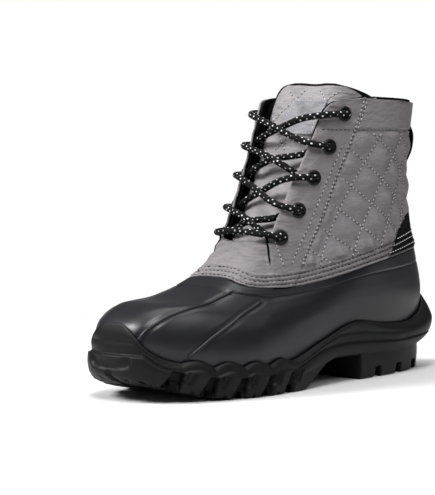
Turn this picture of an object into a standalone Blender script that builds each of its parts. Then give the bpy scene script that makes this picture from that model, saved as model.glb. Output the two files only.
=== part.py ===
"""A left winter boot: lugged outsole, rubber shell, fabric shaft, tongue, insole, eyelets and lace.

Points are worked out in millimetres as (s, y, z): s runs from the back of the heel to the toe, y is
positive on the outer side of the foot, and z is the height over the floor. An angle of 0 is the toe,
90 degrees the outer side and 180 degrees the heel. A level counts the sections of the last upwards.
"""

import math
from collections import namedtuple

import bmesh
import bpy
from mathutils import Matrix, Vector

MM = 0.001
GAP = 0.3

# The last: each section is a loop round the foot, from the sole's edge up to the collar.
# heel and toe are the ends along s, w_ the half widths, z_ the heights, round_ how blunt the ends are,
# and swing how much of the foot's inward curve the section follows.
Section = namedtuple(
    "Section",
    "name heel toe w_heel w_waist w_ball z_heel z_waist z_ball z_toe round_heel round_toe swing",
)
LAST = (
    Section("feather", 15.0, 282.0, 32.0, 34.0, 46.5, 27.0, 23.0, 16.0, 26.0, 0.58, 0.62, 1.0),
    Section("side", 11.0, 285.5, 35.5, 37.5, 49.0, 40.5, 38.0, 27.5, 38.0, 0.58, 0.62, 1.0),
    Section("shoulder", 10.5, 281.0, 37.5, 39.5, 48.0, 54.0, 51.0, 40.0, 49.5, 0.58, 0.60, 1.0),
    Section("toe_box", 12.0, 266.0, 38.0, 40.0, 44.5, 64.0, 59.5, 50.0, 59.0, 0.60, 0.55, 0.9),
    Section("vamp", 15.5, 238.0, 37.5, 40.0, 41.0, 74.0, 67.5, 57.0, 61.5, 0.60, 0.50, 0.7),
    Section("rim", 19.0, 205.0, 36.5, 40.0, 37.5, 85.0, 78.5, 66.5, 73.0, 0.62, 0.45, 0.5),
    Section("instep", 22.5, 180.5, 34.5, 40.5, 33.5, 100.0, 97.5, 93.5, 96.0, 0.74, 0.50, 0.2),
    Section("ankle", 24.5, 159.0, 33.0, 40.5, 36.0, 129.0, 127.0, 127.0, 127.0, 0.90, 0.42, 0.0),
    Section("calf", 23.0, 144.5, 34.0, 41.0, 37.5, 157.0, 157.0, 157.0, 157.0, 1.00, 0.38, 0.0),
    Section("collar", 20.0, 133.0, 35.0, 41.0, 38.5, 182.0, 184.5, 187.0, 189.0, 1.05, 0.36, 0.0),
)
RIM = 5
COLLAR = len(LAST) - 1
WIDTH_KNOTS = (0.13, 0.42, 0.72)
HEIGHT_KNOTS = (0.0, 0.36, 0.80, 1.0)
AXIS_S = (0.0, 110.0, 190.0, 290.0)
AXIS_Y = (0.0, 2.5, 0.0, -8.0)

# The rim's dip at the two front corners of the shell, in levels and degrees
RIM_DIP = 0.2
RIM_DIP_AT = 27.0
RIM_DIP_WIDTH = 18.0

# Rubber shell
SHELL_COLUMNS = 54
SHELL_WALL = 2.5
SHELL_STEPS = 7
SHELL_INNER_STEPS = 5
BAND_WIDTH = 9.0
BAND_RAISE = 0.9
BAND_FADE = (120.0, 165.0)
FLANGE_STEP = 1.9
FLANGE_WALL = 2.0
FLANGE_LEVELS = 0.5
RIDGE_WIDTH = 3.0
RIDGE_HEIGHT = 1.1
RIDGE_ROOT = 1.2
RIDGE_STEPS = 10
Ridge = namedtuple("Ridge", "name levels degrees")
RIDGES = (
    Ridge("toe", (1.95, 2.3, 3.2, 4.1, 4.55), (16.5, 19.5, 25.5, 22.5, 21.5)),
    Ridge("side", (0.75, 1.7, 2.8, 3.9), (37.0, 44.0, 50.0, 48.5)),
)

# Fabric shaft
SHAFT_INNER = -1.5
SHAFT_OUTER = 1.2
STAY_RAISE = 0.7
STAY_DEGREES = 57.0
CUFF_RAISE = 0.5
CUFF_LEVEL = 8.29
SHAFT_DEGREES = (0, 7, 14, 21, 28, 35, 42, 49.5, 57, 58.5, 66, 74, 82, 90, 99, 108, 117, 126, 135,
                 144, 153, 162, 171, 180)
SHAFT_OUTER_LEVELS = (5.04, 5.4, 5.8, 6.2, 6.6, 7.0, 7.6, 8.27, 8.31, 8.65, 9.0)
SHAFT_INNER_LEVELS = (9.0, 8.4, 7.7, 7.0, 6.5, 6.0, 5.5, 5.04)

# Throat: half the gap between the flaps by height, flaring round the flaps' top corners
THROAT_Z = (94.5, 97.5, 108.0, 128.0, 150.0, 176.0, 181.0, 185.0, 187.5, 200.0)
THROAT_HALF = (15.0, 19.5, 20.2, 21.5, 24.2, 27.6, 28.8, 31.5, 37.0, 37.5)
THROAT_BACK = 92.0
THROAT_FRONT = 240.0

# Eyelets, from the bottom pair upwards
EYELET_Z = (97.1, 114.3, 135.1, 155.0, 176.4)
EYELET_INSET = (4.6, 6.0, 6.5, 6.4, 5.7)
EYELET_BORE = 2.4
EYELET_BARREL = 3.1
EYELET_FLANGE = 5.2
EYELET_GAP = 0.4
EYELET_RISE = 1.0
EYELET_SEGMENTS = 10

# Lace
LACE_RADIUS = 2.2
LACE_CROSS_RISE = 1.9
LACE_MIDDLE = 1.5
LACE_BAR_SAG = 1.5
LACE_EDGE = 3.5
LACE_UNDER_REACH = 1.5
OVER_EYELET = SHAFT_OUTER + STAY_RAISE + EYELET_GAP + EYELET_RISE + 4 * GAP + LACE_RADIUS
OVER_FLAP = SHAFT_OUTER + STAY_RAISE + 2 * GAP + LACE_RADIUS
UNDER_FLAP = SHAFT_INNER - GAP - LACE_RADIUS

# Tongue: half width, how deep its middle and its edges lie behind the last, and how thick it is
TongueRow = namedtuple("TongueRow", "level half depth_middle depth_edge thick_middle thick_edge")
TONGUE = (
    TongueRow(5.64, 18.0, 2.2, 2.4, 2.4, 1.8),
    TongueRow(5.78, 20.0, 4.4, 4.6, 3.0, 1.8),
    TongueRow(5.92, 22.0, 6.8, 7.4, 3.6, 1.8),
    TongueRow(6.06, 23.5, 8.0, 9.0, 4.2, 1.8),
    TongueRow(6.40, 25.5, 8.4, 9.6, 4.5, 1.8),
    TongueRow(7.00, 28.0, 8.8, 10.0, 4.5, 1.8),
    TongueRow(7.60, 30.0, 10.0, 10.5, 4.5, 1.8),
    TongueRow(8.20, 31.5, 11.5, 11.0, 4.5, 1.8),
    TongueRow(8.80, 32.5, 13.0, 11.5, 4.5, 2.0),
    TongueRow(9.15, 31.5, 14.0, 12.0, 4.5, 2.2),
    TongueRow(9.34, 27.0, 14.6, 12.8, 4.2, 2.4),
    TongueRow(9.42, 20.0, 15.0, 14.0, 3.4, 2.6),
)
TONGUE_COLUMNS = 10

# Heel patch: height and half reach round the back, over the shaft
PATCH_Z = (84.0, 92.0, 100.0, 107.0, 114.0, 121.0, 130.0, 150.0, 172.0)
PATCH_REACH = (78.0, 64.0, 54.0, 34.0, 20.0, 12.0, 9.5, 9.0, 9.0)
PATCH_THICK = 1.0
PATCH_COLUMNS = 18
PATCH_GAP = 1.0

# Pull loop of webbing on the backstay
LOOP_Z = (171.0, 168.0, 163.0, 156.5, 150.0, 144.0, 139.0)
LOOP_STAND = (0.0, 4.5, 8.0, 8.5, 7.0, 3.5, 0.0)
LOOP_WIDTH = 13.0
LOOP_THICK = 1.6

# Insole
INSOLE_THICK = 4.5
INSOLE_CLEAR = 0.4

# Outsole: the rows of its side from the foxing down to the tread, at toe, ball, waist, heel and back.
# z_ is a height, out_ how far the row stands out from the feather edge, and drop the least distance
# under the foxing's edge.
SideRow = namedtuple(
    "SideRow",
    "name drop z_toe z_ball z_waist z_heel z_back out_toe out_ball out_waist out_heel out_back",
)
SIDE = (
    SideRow("band", 2.5, 38.0, 19.0, 33.0, 29.0, 37.0, 5.5, 4.6, 4.6, 7.0, 15.0),
    SideRow("groove", 5.0, 31.0, 15.5, 28.0, 24.5, 27.5, 6.0, 4.8, 4.4, 6.8, 13.3),
    SideRow("shelf", 6.5, 29.0, 14.0, 25.0, 22.5, 25.5, 8.5, 6.0, 4.2, 6.5, 12.5),
    SideRow("under", 8.5, 17.0, 7.0, 17.0, 17.0, 17.0, 8.0, 6.0, 2.5, 3.0, 2.5),
)
TREAD = SideRow("tread", 12.0, 0.0, 0.0, 0.0, 0.0, 0.0, 4.0, 4.5, 1.5, 2.0, 1.5)
SIDE_KNOTS = (0.17, 0.42, 0.70, 0.96)
SOLE_COLUMNS = 108
BACK_POWER = 8
LIP_THICK = 2.4
TRAY_GAP = 0.4
TRAY_STEPS = 4
FOXING_S = (40.0, 76.0, 112.0, 146.0, 180.0, 240.0, 262.0)
FOXING_Z = (33.0, 36.0, 39.5, 30.0, 19.8, 20.5, 23.5)
WAVE_START = 179.0
WAVE_PITCH = 21.0
WAVE_COUNT = 4
WAVE_HEIGHT = 3.2
BUMPER_RISE = 24.0
BUMPER_HALF = 24.0
BUMPER_MIDDLE = -8.0
BUMPER_START = (240.0, 268.0)
HEEL_CUP_RISE = 19.0
SPRING_START = 225.0
SPRING_END = 290.0
SPRING_RISE = 15.0

# Arch under the waist: its profile along the sole, as s and z
ARCH = ((100.0, -5.0), (100.0, 16.0), (128.0, 16.8), (140.0, 14.0), (153.0, 7.0), (164.0, 0.0), (168.0, -5.0))
SIDE_RECESS_COUNT = 5
RECESS_LEAN = 5.0
RECESS_TOP = 13.0
RECESS_HALF_TOP = 3.0
RECESS_HALF_FOOT = 4.8
TREAD_GROOVE_HALF = 2.8
TREAD_GROOVE_DEEP = 5.0
HEEL_NOTCH_S = (80.0, 54.0, 30.0)
HEEL_NOTCH_HALF = 3.6
HEEL_NOTCH_DEEP = 6.5
CUTTER_REACH = 80.0
CUTTER_BELOW = 4.0


# Small functions

def lerp(low, high, share):
    return low + (high - low) * share


def smooth(low, high, value):
    share = min(max((value - low) / (high - low), 0.0), 1.0)
    return share * share * (3 - 2 * share)


def curve_through(knots, values, at):
    """A smooth curve through values at the knots, held level outside them."""
    if at <= knots[0]:
        return values[0]
    if at >= knots[-1]:
        return values[-1]
    last = len(knots) - 1
    k = max(i for i in range(last) if knots[i] <= at)

    def slope(i):
        low = max(i - 1, 0)
        high = min(i + 1, last)
        return (values[high] - values[low]) / (knots[high] - knots[low])

    span = knots[k + 1] - knots[k]
    f = (at - knots[k]) / span
    start = (2 * f**3 - 3 * f**2 + 1) * values[k] + (f**3 - 2 * f**2 + f) * span * slope(k)
    end = (3 * f**2 - 2 * f**3) * values[k + 1] + (f**3 - f**2) * span * slope(k + 1)
    return start + end


def smooth_path(points, per_span):
    """Points along a smooth curve through the given points."""
    knots = list(range(len(points)))
    columns = list(zip(*points))
    count = (len(points) - 1) * per_span
    return [
        Vector(curve_through(knots, column, i / per_span) for column in columns)
        for i in range(count + 1)
    ]


# The form of the last

def section_point(section, angle):
    share = 0.5 * (1 + math.cos(angle))
    s = lerp(section.heel, section.toe, share)
    half = curve_through(WIDTH_KNOTS, (section.w_heel, section.w_waist, section.w_ball), share)
    blunt = lerp(section.round_heel, section.round_toe, share)
    sine = math.sin(angle)
    side = math.copysign(abs(sine) ** blunt, sine)
    y = section.swing * curve_through(AXIS_S, AXIS_Y, s) + half * side
    heights = (section.z_heel, section.z_waist, section.z_ball, section.z_toe)
    return Vector((s, y, curve_through(HEIGHT_KNOTS, heights, share)))


def form_point(angle, level):
    """The last's outside, as a smooth surface through the sections."""
    k = min(max(int(math.floor(level)), 0), COLLAR - 1)
    f = level - k
    p1 = section_point(LAST[k], angle)
    p2 = section_point(LAST[k + 1], angle)
    p0 = section_point(LAST[k - 1], angle) if k > 0 else 2 * p1 - p2
    p3 = section_point(LAST[k + 2], angle) if k + 2 <= COLLAR else 2 * p2 - p1
    square = 2 * p0 - 5 * p1 + 4 * p2 - p3
    cube = 3 * p1 - p0 - 3 * p2 + p3
    return 0.5 * (2 * p1 + (p2 - p0) * f + square * f**2 + cube * f**3)


def form_normal(angle, level, step=0.02):
    around = form_point(angle + step, level) - form_point(angle - step, level)
    upward = form_point(angle, level + step) - form_point(angle, level - step)
    return around.cross(upward).normalized()


def on_form(angle, level, out):
    return form_point(angle, level) + form_normal(angle, level) * out


def level_at_height(angle, z, low=0.0, high=9.6):
    for _ in range(40):
        middle = 0.5 * (low + high)
        if form_point(angle, middle).z < z:
            low = middle
        else:
            high = middle
    return 0.5 * (low + high)


def angle_at_width(level, y, low=0.0, high=0.5 * math.pi):
    """The angle on the front half of a section where its half width is y."""
    for _ in range(40):
        middle = 0.5 * (low + high)
        if abs(form_point(math.copysign(middle, y), level).y) < abs(y):
            low = middle
        else:
            high = middle
    return math.copysign(0.5 * (low + high), y)


def place_at(y, z):
    """The angle and level of the front half where the last has this y and z."""
    angle = math.copysign(0.6, y)
    for _ in range(12):
        level = level_at_height(angle, z)
        angle = angle_at_width(level, y)
    return angle, level


def level_below(angle, level, distance, step=0.02):
    """The level that lies a distance down the surface from another."""
    point = form_point(angle, level)
    while distance > 0:
        level -= step
        lower = form_point(angle, level)
        distance -= (lower - point).length
        point = lower
    return level


def angle_round_back(level, reach, side, step=0.02):
    """The angle that lies a distance round the section from the middle of the heel."""
    angle = math.pi
    point = form_point(angle, level)
    while reach > 0:
        angle -= side * step
        further = form_point(angle, level)
        reach -= (further - point).length
        point = further
    return angle


def rim_level(angle):
    turned = abs(math.degrees(math.atan2(math.sin(angle), math.cos(angle))))
    return RIM - RIM_DIP * math.exp(-((turned - RIM_DIP_AT) / RIM_DIP_WIDTH) ** 2)


def feather_outward(angle):
    normal = form_normal(angle, 0.0)
    return Vector((normal.x, normal.y, 0.0)).normalized()


# Scene, collections and materials

def clear_scene():
    for item in list(bpy.data.objects):
        bpy.data.objects.remove(item, do_unlink=True)


def new_collection(name):
    collection = bpy.data.collections.new(name)
    bpy.context.scene.collection.children.link(collection)
    return collection


def new_material(name, colour, roughness, metallic=0.0):
    material = bpy.data.materials.new(name)
    material.use_nodes = True
    shader = material.node_tree.nodes["Principled BSDF"]
    shader.inputs["Base Color"].default_value = (*colour, 1.0)
    shader.inputs["Roughness"].default_value = roughness
    shader.inputs["Metallic"].default_value = metallic
    return material


clear_scene()
boot_parts = new_collection("winter_boot")
cutters = new_collection("cutters")
RUBBER_SOLE = new_material("outsole_rubber", (0.018, 0.018, 0.019), 0.6)
RUBBER_SHELL = new_material("shell_rubber", (0.032, 0.032, 0.037), 0.38)
FABRIC_GREY = new_material("grey_fabric", (0.30, 0.285, 0.30), 0.85)
FABRIC_BLACK = new_material("black_fabric", (0.012, 0.012, 0.013), 0.9)
FOAM = new_material("insole_foam", (0.03, 0.03, 0.032), 0.95)
EYELET_BLACK = new_material("eyelet_black", (0.015, 0.015, 0.016), 0.35)
LACE_BLACK = new_material("lace_black", (0.014, 0.014, 0.015), 0.85)

root = bpy.data.objects.new("boot", None)
boot_parts.objects.link(root)


# Mesh tools

def add_object(name, bm, material):
    """Make a bmesh in millimetres a part of the boot."""
    bmesh.ops.recalc_face_normals(bm, faces=bm.faces)
    mesh = bpy.data.meshes.new(name)
    bm.to_mesh(mesh)
    bm.free()
    mesh.transform(Matrix.Scale(MM, 4))
    mesh.materials.append(material)
    mesh.shade_smooth()
    mesh.set_sharp_from_angle(angle=math.radians(35))
    item = bpy.data.objects.new(name, mesh)
    item.parent = root
    boot_parts.objects.link(item)
    return item


def make_cutter(item):
    boot_parts.objects.unlink(item)
    cutters.objects.link(item)
    item.hide_render = True
    item.display_type = "WIRE"


def combine(target, other, operation):
    make_cutter(other)
    modifier = target.modifiers.new(other.name, "BOOLEAN")
    modifier.object = other
    modifier.operation = operation
    modifier.solver = "EXACT"


def loft(bm, loops, join_last):
    """Faces between closed loops of equal length, and between the last and the first if joined."""
    rows = [[bm.verts.new(point) for point in loop] for loop in loops]
    pairs = list(zip(rows, rows[1:]))
    if join_last:
        pairs.append((rows[-1], rows[0]))
    for lower, upper in pairs:
        count = len(lower)
        for i in range(count):
            k = (i + 1) % count
            bm.faces.new((lower[i], lower[k], upper[k], upper[i]))
    return rows


def ladder_cap(bm, row):
    """Close a loop that is symmetric about its first vertex with rungs from side to side."""
    count = len(row)
    half = count // 2
    bm.faces.new((row[0], row[1], row[-1]))
    for i in range(1, half - 1):
        bm.faces.new((row[i], row[i + 1], row[count - i - 1], row[count - i]))
    bm.faces.new((row[half - 1], row[half], row[half + 1]))


def sheet_solid(name, outer, inner, material):
    """A closed sheet between an outer and an inner grid of points of the same size."""
    loops = []
    for top, bottom in zip(outer, inner):
        loops.append(list(top) + list(reversed(bottom)))
    bm = bmesh.new()
    rows = loft(bm, loops, join_last=False)
    for row in (rows[0], rows[-1]):
        half = len(row) // 2
        for i in range(half - 1):
            bm.faces.new((row[i], row[i + 1], row[-i - 2], row[-i - 1]))
    return add_object(name, bm, material)


def hull_solid(name, points, material):
    bm = bmesh.new()
    for point in points:
        bm.verts.new(point)
    bmesh.ops.convex_hull(bm, input=bm.verts)
    return add_object(name, bm, material)


def box_solid(name, low, high, material):
    corners = [Vector((x, y, z)) for x in (low[0], high[0]) for y in (low[1], high[1]) for z in (low[2], high[2])]
    return hull_solid(name, corners, material)


def prism_solid(name, outline, along, material):
    """A flat outline pushed along a vector."""
    bm = bmesh.new()
    face = bm.faces.new([bm.verts.new(point) for point in outline])
    pushed = bmesh.ops.extrude_face_region(bm, geom=[face])
    moved = [item for item in pushed["geom"] if isinstance(item, bmesh.types.BMVert)]
    bmesh.ops.translate(bm, verts=moved, vec=along)
    return add_object(name, bm, material)


def tube_solid(name, points, radius, material):
    """A round cord along points, as a closed mesh."""
    curve = bpy.data.curves.new(name, "CURVE")
    curve.dimensions = "3D"
    curve.bevel_depth = radius
    curve.bevel_resolution = 2
    curve.use_fill_caps = True
    spline = curve.splines.new("POLY")
    spline.points.add(len(points) - 1)
    for knot, point in zip(spline.points, points):
        knot.co = (*point, 1.0)
    guide = bpy.data.objects.new(name, curve)
    boot_parts.objects.link(guide)
    evaluated = guide.evaluated_get(bpy.context.evaluated_depsgraph_get())
    mesh = bpy.data.meshes.new_from_object(evaluated)
    bm = bmesh.new()
    bm.from_mesh(mesh)
    bmesh.ops.remove_doubles(bm, verts=bm.verts, dist=1e-4)
    bpy.data.objects.remove(guide, do_unlink=True)
    bpy.data.meshes.remove(mesh)
    return add_object(name, bm, material)


# Outsole

def foxing_height(angle):
    """The upper edge of the sole: bumper at the toe, waves along the ball, a cup at the heel."""
    place = form_point(angle, 0.6)
    z = curve_through(FOXING_S, FOXING_Z, place.x)
    along = (place.x - WAVE_START) / WAVE_PITCH
    if 0 < along < WAVE_COUNT:
        z += WAVE_HEIGHT * abs(math.sin(math.pi * along))
    bulge = math.exp(-abs((place.y - BUMPER_MIDDLE) / BUMPER_HALF) ** 3)
    z += BUMPER_RISE * bulge * smooth(*BUMPER_START, place.x)
    return z + HEEL_CUP_RISE * max(-math.cos(angle), 0.0) ** (BACK_POWER + 2)


def ground_height(s):
    """The floor side of the sole: flat, then rising to the toe."""
    share = max(s - SPRING_START, 0.0) / (SPRING_END - SPRING_START)
    return SPRING_RISE * share**1.7


def side_point(row, angle):
    feather = form_point(angle, 0.0)
    share = (feather.x - LAST[0].heel) / (LAST[0].toe - LAST[0].heel)
    back = max(-math.cos(angle), 0.0) ** BACK_POWER
    outs = (row.out_heel, row.out_waist, row.out_ball, row.out_toe)
    heights = (row.z_heel, row.z_waist, row.z_ball, row.z_toe)
    out = lerp(curve_through(SIDE_KNOTS, outs, share), row.out_back, back)
    z = lerp(curve_through(SIDE_KNOTS, heights, share), row.z_back, back)
    point = feather + feather_outward(angle) * out
    point.z = min(z, foxing_height(angle) - row.drop)
    if row is TREAD:
        point.z = ground_height(point.x)
    return point


def sole_angles():
    return [2 * math.pi * i / SOLE_COLUMNS for i in range(SOLE_COLUMNS)]


def sole_loops():
    """Loops from the tray's floor up its inner wall, over the lip and down the side to the tread."""
    columns = []
    for angle in sole_angles():
        lip = level_at_height(angle, foxing_height(angle), high=3.2)
        floor_edge = form_point(angle, 0.0) + feather_outward(angle) * TRAY_GAP
        column = [floor_edge - Vector((0.0, 0.0, GAP))]
        column += [on_form(angle, lip * i / TRAY_STEPS, TRAY_GAP) for i in range(1, TRAY_STEPS + 1)]
        column.append(on_form(angle, lip, TRAY_GAP + LIP_THICK))
        column += [side_point(row, angle) for row in (*SIDE, TREAD)]
        columns.append(column)
    return [list(loop) for loop in zip(*columns)]


def angle_at_s(s, side):
    feather = LAST[0]
    share = (s - feather.heel) / (feather.toe - feather.heel)
    return side * math.acos(2 * share - 1)


def side_recess(index, side):
    """The slanted gap between two side lugs, under a trough of the foxing's waves."""
    s_top = WAVE_START + WAVE_PITCH * index
    corners = []
    for s, z, half in (
        (s_top, RECESS_TOP, RECESS_HALF_TOP),
        (s_top + RECESS_LEAN, 0.0, RECESS_HALF_FOOT),
    ):
        angle = angle_at_s(s, side)
        outward = feather_outward(angle)
        across = Vector((-outward.y, outward.x, 0.0))
        base = form_point(angle, 0.0)
        base.z = z + ground_height(s) - (CUTTER_BELOW if z == 0.0 else 0.0)
        for reach in (0.0, 14.0):
            for shift in (-half, half):
                corners.append(base + outward * reach + across * shift)
    return corners


def build_outsole():
    bm = bmesh.new()
    rows = loft(bm, sole_loops(), join_last=False)
    ladder_cap(bm, rows[0])
    ladder_cap(bm, rows[-1])
    sole = add_object("outsole", bm, RUBBER_SOLE)
    arch_outline = [Vector((s, -CUTTER_REACH, z)) for s, z in ARCH]
    arch = prism_solid("arch_cut", arch_outline, Vector((0.0, 2 * CUTTER_REACH, 0.0)), RUBBER_SOLE)
    combine(sole, arch, "DIFFERENCE")
    for index in range(SIDE_RECESS_COUNT):
        for side, tag in ((1, "outer"), (-1, "inner")):
            recess = hull_solid(f"recess_{tag}_{index}", side_recess(index, side), RUBBER_SOLE)
            combine(sole, recess, "DIFFERENCE")
        s = WAVE_START + WAVE_PITCH * index + RECESS_LEAN
        low = (s - TREAD_GROOVE_HALF, -CUTTER_REACH, -CUTTER_BELOW)
        high = (s + TREAD_GROOVE_HALF, CUTTER_REACH, ground_height(s) + TREAD_GROOVE_DEEP)
        combine(sole, box_solid(f"tread_groove_{index}", low, high, RUBBER_SOLE), "DIFFERENCE")
    for index, s in enumerate(HEEL_NOTCH_S):
        low = (s - HEEL_NOTCH_HALF, -CUTTER_REACH, -CUTTER_BELOW)
        high = (s + HEEL_NOTCH_HALF, CUTTER_REACH, HEEL_NOTCH_DEEP)
        combine(sole, box_solid(f"heel_notch_{index}", low, high, RUBBER_SOLE), "DIFFERENCE")
    return sole


# Insole

def build_insole():
    angles = [2 * math.pi * i / SHELL_COLUMNS for i in range(SHELL_COLUMNS)]
    bottom = [form_point(a, 0.0) - feather_outward(a) * (SHELL_WALL + INSOLE_CLEAR) for a in angles]
    top = [point + Vector((0.0, 0.0, INSOLE_THICK)) for point in bottom]
    bm = bmesh.new()
    rows = loft(bm, [bottom, top], join_last=False)
    ladder_cap(bm, rows[0])
    ladder_cap(bm, rows[1])
    return add_object("insole", bm, FOAM)


# Rubber shell

def shell_profile(angle):
    """A closed loop round the shell's wall at one angle: up the outside and down the inside."""
    rim = rim_level(angle)
    band = level_below(angle, rim, BAND_WIDTH)
    raised = BAND_RAISE * smooth(*BAND_FADE, form_point(angle, rim).x)
    outer = [on_form(angle, band * i / SHELL_STEPS, 0.0) for i in range(SHELL_STEPS + 1)]
    outer.append(on_form(angle, lerp(band, rim, 0.12), raised))
    outer.append(on_form(angle, lerp(band, rim, 0.96), raised))
    outer.append(on_form(angle, rim, -FLANGE_STEP))
    outer.append(on_form(angle, rim + FLANGE_LEVELS, -FLANGE_STEP))
    inner = [on_form(angle, rim + FLANGE_LEVELS, -FLANGE_STEP - FLANGE_WALL)]
    inner.append(on_form(angle, rim, -FLANGE_STEP - FLANGE_WALL))
    for i in range(SHELL_INNER_STEPS, -1, -1):
        inner.append(on_form(angle, (rim - 0.6) * i / SHELL_INNER_STEPS, -SHELL_WALL))
    return outer + inner


def ridge_solid(ridge, side):
    """A half-round seam along the shell, with its root sunk in the wall."""
    sections = []
    for i in range(RIDGE_STEPS + 1):
        share = i / RIDGE_STEPS
        level = lerp(ridge.levels[0], ridge.levels[-1], share)
        angle = side * math.radians(curve_through(ridge.levels, ridge.degrees, level))
        ahead = side * math.radians(curve_through(ridge.levels, ridge.degrees, level + 0.05))
        run = (form_point(ahead, level + 0.05) - form_point(angle, level)).normalized()
        normal = form_normal(angle, level)
        across = run.cross(normal).normalized()
        base = form_point(angle, level)
        size = smooth(0.0, 0.12, share) * smooth(0.0, 0.12, 1.0 - share) * 0.8 + 0.2
        half = 0.5 * RIDGE_WIDTH * size
        sections.append([
            base - across * half - normal * RIDGE_ROOT,
            base - across * half * 0.9,
            base - across * half * 0.4 + normal * RIDGE_HEIGHT * size,
            base + across * half * 0.4 + normal * RIDGE_HEIGHT * size,
            base + across * half * 0.9,
            base + across * half - normal * RIDGE_ROOT,
        ])
    bm = bmesh.new()
    rows = loft(bm, sections, join_last=False)
    bm.faces.new(rows[0])
    bm.faces.new(rows[-1])
    return add_object(f"ridge_{ridge.name}_{'outer' if side > 0 else 'inner'}", bm, RUBBER_SHELL)


def build_shell():
    bm = bmesh.new()
    profiles = [shell_profile(2 * math.pi * i / SHELL_COLUMNS) for i in range(SHELL_COLUMNS)]
    loft(bm, profiles, join_last=True)
    shell = add_object("upper_shell", bm, RUBBER_SHELL)
    for ridge in RIDGES:
        for side in (1, -1):
            combine(shell, ridge_solid(ridge, side), "UNION")
    return shell


# Fabric shaft

def throat_half(z):
    return curve_through(THROAT_Z, THROAT_HALF, z)


def shaft_outer(degrees, level):
    out = SHAFT_OUTER
    if abs(degrees) <= STAY_DEGREES:
        out += STAY_RAISE
    if level > CUFF_LEVEL:
        out = max(out, SHAFT_OUTER + CUFF_RAISE)
    return out


def shaft_profile(degrees):
    angle = math.radians(degrees)
    shift = rim_level(angle) - RIM
    outer, inner = [], []
    for level in SHAFT_OUTER_LEVELS:
        moved = level + shift if level == SHAFT_OUTER_LEVELS[0] else level
        outer.append(on_form(angle, moved, shaft_outer(degrees, level)))
    for level in SHAFT_INNER_LEVELS:
        moved = level + shift if level == SHAFT_INNER_LEVELS[-1] else level
        inner.append(on_form(angle, moved, SHAFT_INNER))
    return outer + inner


def throat_cutter():
    side = [Vector((THROAT_BACK, half, z)) for z, half in zip(THROAT_Z, THROAT_HALF)]
    other = [Vector((THROAT_BACK, -half, z)) for z, half in zip(THROAT_Z, THROAT_HALF)]
    outline = side + list(reversed(other))
    return prism_solid("throat_cut", outline, Vector((THROAT_FRONT - THROAT_BACK, 0.0, 0.0)), FABRIC_GREY)


def eyelet_frame(row, side):
    """The place of an eyelet on the shaft's outside, its outward direction and its angle and level."""
    z = EYELET_Z[row]
    angle, level = place_at(side * (throat_half(z) + EYELET_INSET[row]), z)
    normal = form_normal(angle, level)
    out = shaft_outer(math.degrees(angle), level)
    return form_point(angle, level) + normal * out, normal


def build_shaft():
    right = [-d for d in SHAFT_DEGREES[1:-1]]
    degrees = list(SHAFT_DEGREES) + list(reversed(right))
    bm = bmesh.new()
    loft(bm, [shaft_profile(d) for d in degrees], join_last=True)
    shaft = add_object("upper_shaft", bm, FABRIC_GREY)
    combine(shaft, throat_cutter(), "DIFFERENCE")
    for row in range(len(EYELET_Z)):
        for side, tag in ((1, "lateral"), (-1, "medial")):
            place, normal = eyelet_frame(row, side)
            ends = [place - normal * 8.0, place + normal * 8.0]
            hole = tube_solid(f"hole_{tag}_{row}", ends, EYELET_BARREL + GAP + 0.1, FABRIC_GREY)
            combine(shaft, hole, "DIFFERENCE")
    return shaft


# Tongue

def build_tongue():
    outer, inner = [], []
    for row in TONGUE:
        front, back = [], []
        ahead = form_normal(0.0, row.level)
        for i in range(TONGUE_COLUMNS + 1):
            across = 2 * i / TONGUE_COLUMNS - 1
            y = row.half * across
            angle = angle_at_width(row.level, y) if abs(y) > 0.01 else 0.0
            edge = abs(across) ** 3
            depth = lerp(row.depth_middle, row.depth_edge, edge)
            thick = lerp(row.thick_middle, row.thick_edge, edge)
            front.append(form_point(angle, row.level) - ahead * depth)
            back.append(form_point(angle, row.level) - ahead * (depth + thick))
        outer.append(front)
        inner.append(back)
    return sheet_solid("tongue", outer, inner, FABRIC_GREY)


# Heel patch and pull loop

def build_heel_patch():
    outer, inner = [], []
    base = SHAFT_OUTER + PATCH_GAP
    for z, reach in zip(PATCH_Z, PATCH_REACH):
        above, below = [], []
        for i in range(PATCH_COLUMNS + 1):
            across = 2 * i / PATCH_COLUMNS - 1
            side = 1 if across >= 0 else -1
            level = level_at_height(math.pi, z)
            angle = angle_round_back(level, reach * abs(across), side)
            level = max(level, rim_level(angle) + 0.08)
            above.append(on_form(angle, level, base + PATCH_THICK))
            below.append(on_form(angle, level, base))
        outer.append(above)
        inner.append(below)
    return sheet_solid("heel_patch", outer, inner, FABRIC_BLACK)


def build_pull_loop():
    """A strip of webbing sewn at both ends over the backstay, standing off between them."""
    outer, inner = [], []
    seat = SHAFT_OUTER + PATCH_GAP + PATCH_THICK + GAP
    half = Vector((0.0, 0.5 * LOOP_WIDTH, 0.0))
    for z, stand in zip(LOOP_Z, LOOP_STAND):
        level = level_at_height(math.pi, z)
        near = on_form(math.pi, level, seat + stand)
        far = on_form(math.pi, level, seat + stand + LOOP_THICK)
        outer.append([far - half, far + half])
        inner.append([near - half, near + half])
    return sheet_solid("pull_loop", outer, inner, FABRIC_BLACK)


# Eyelets

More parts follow.
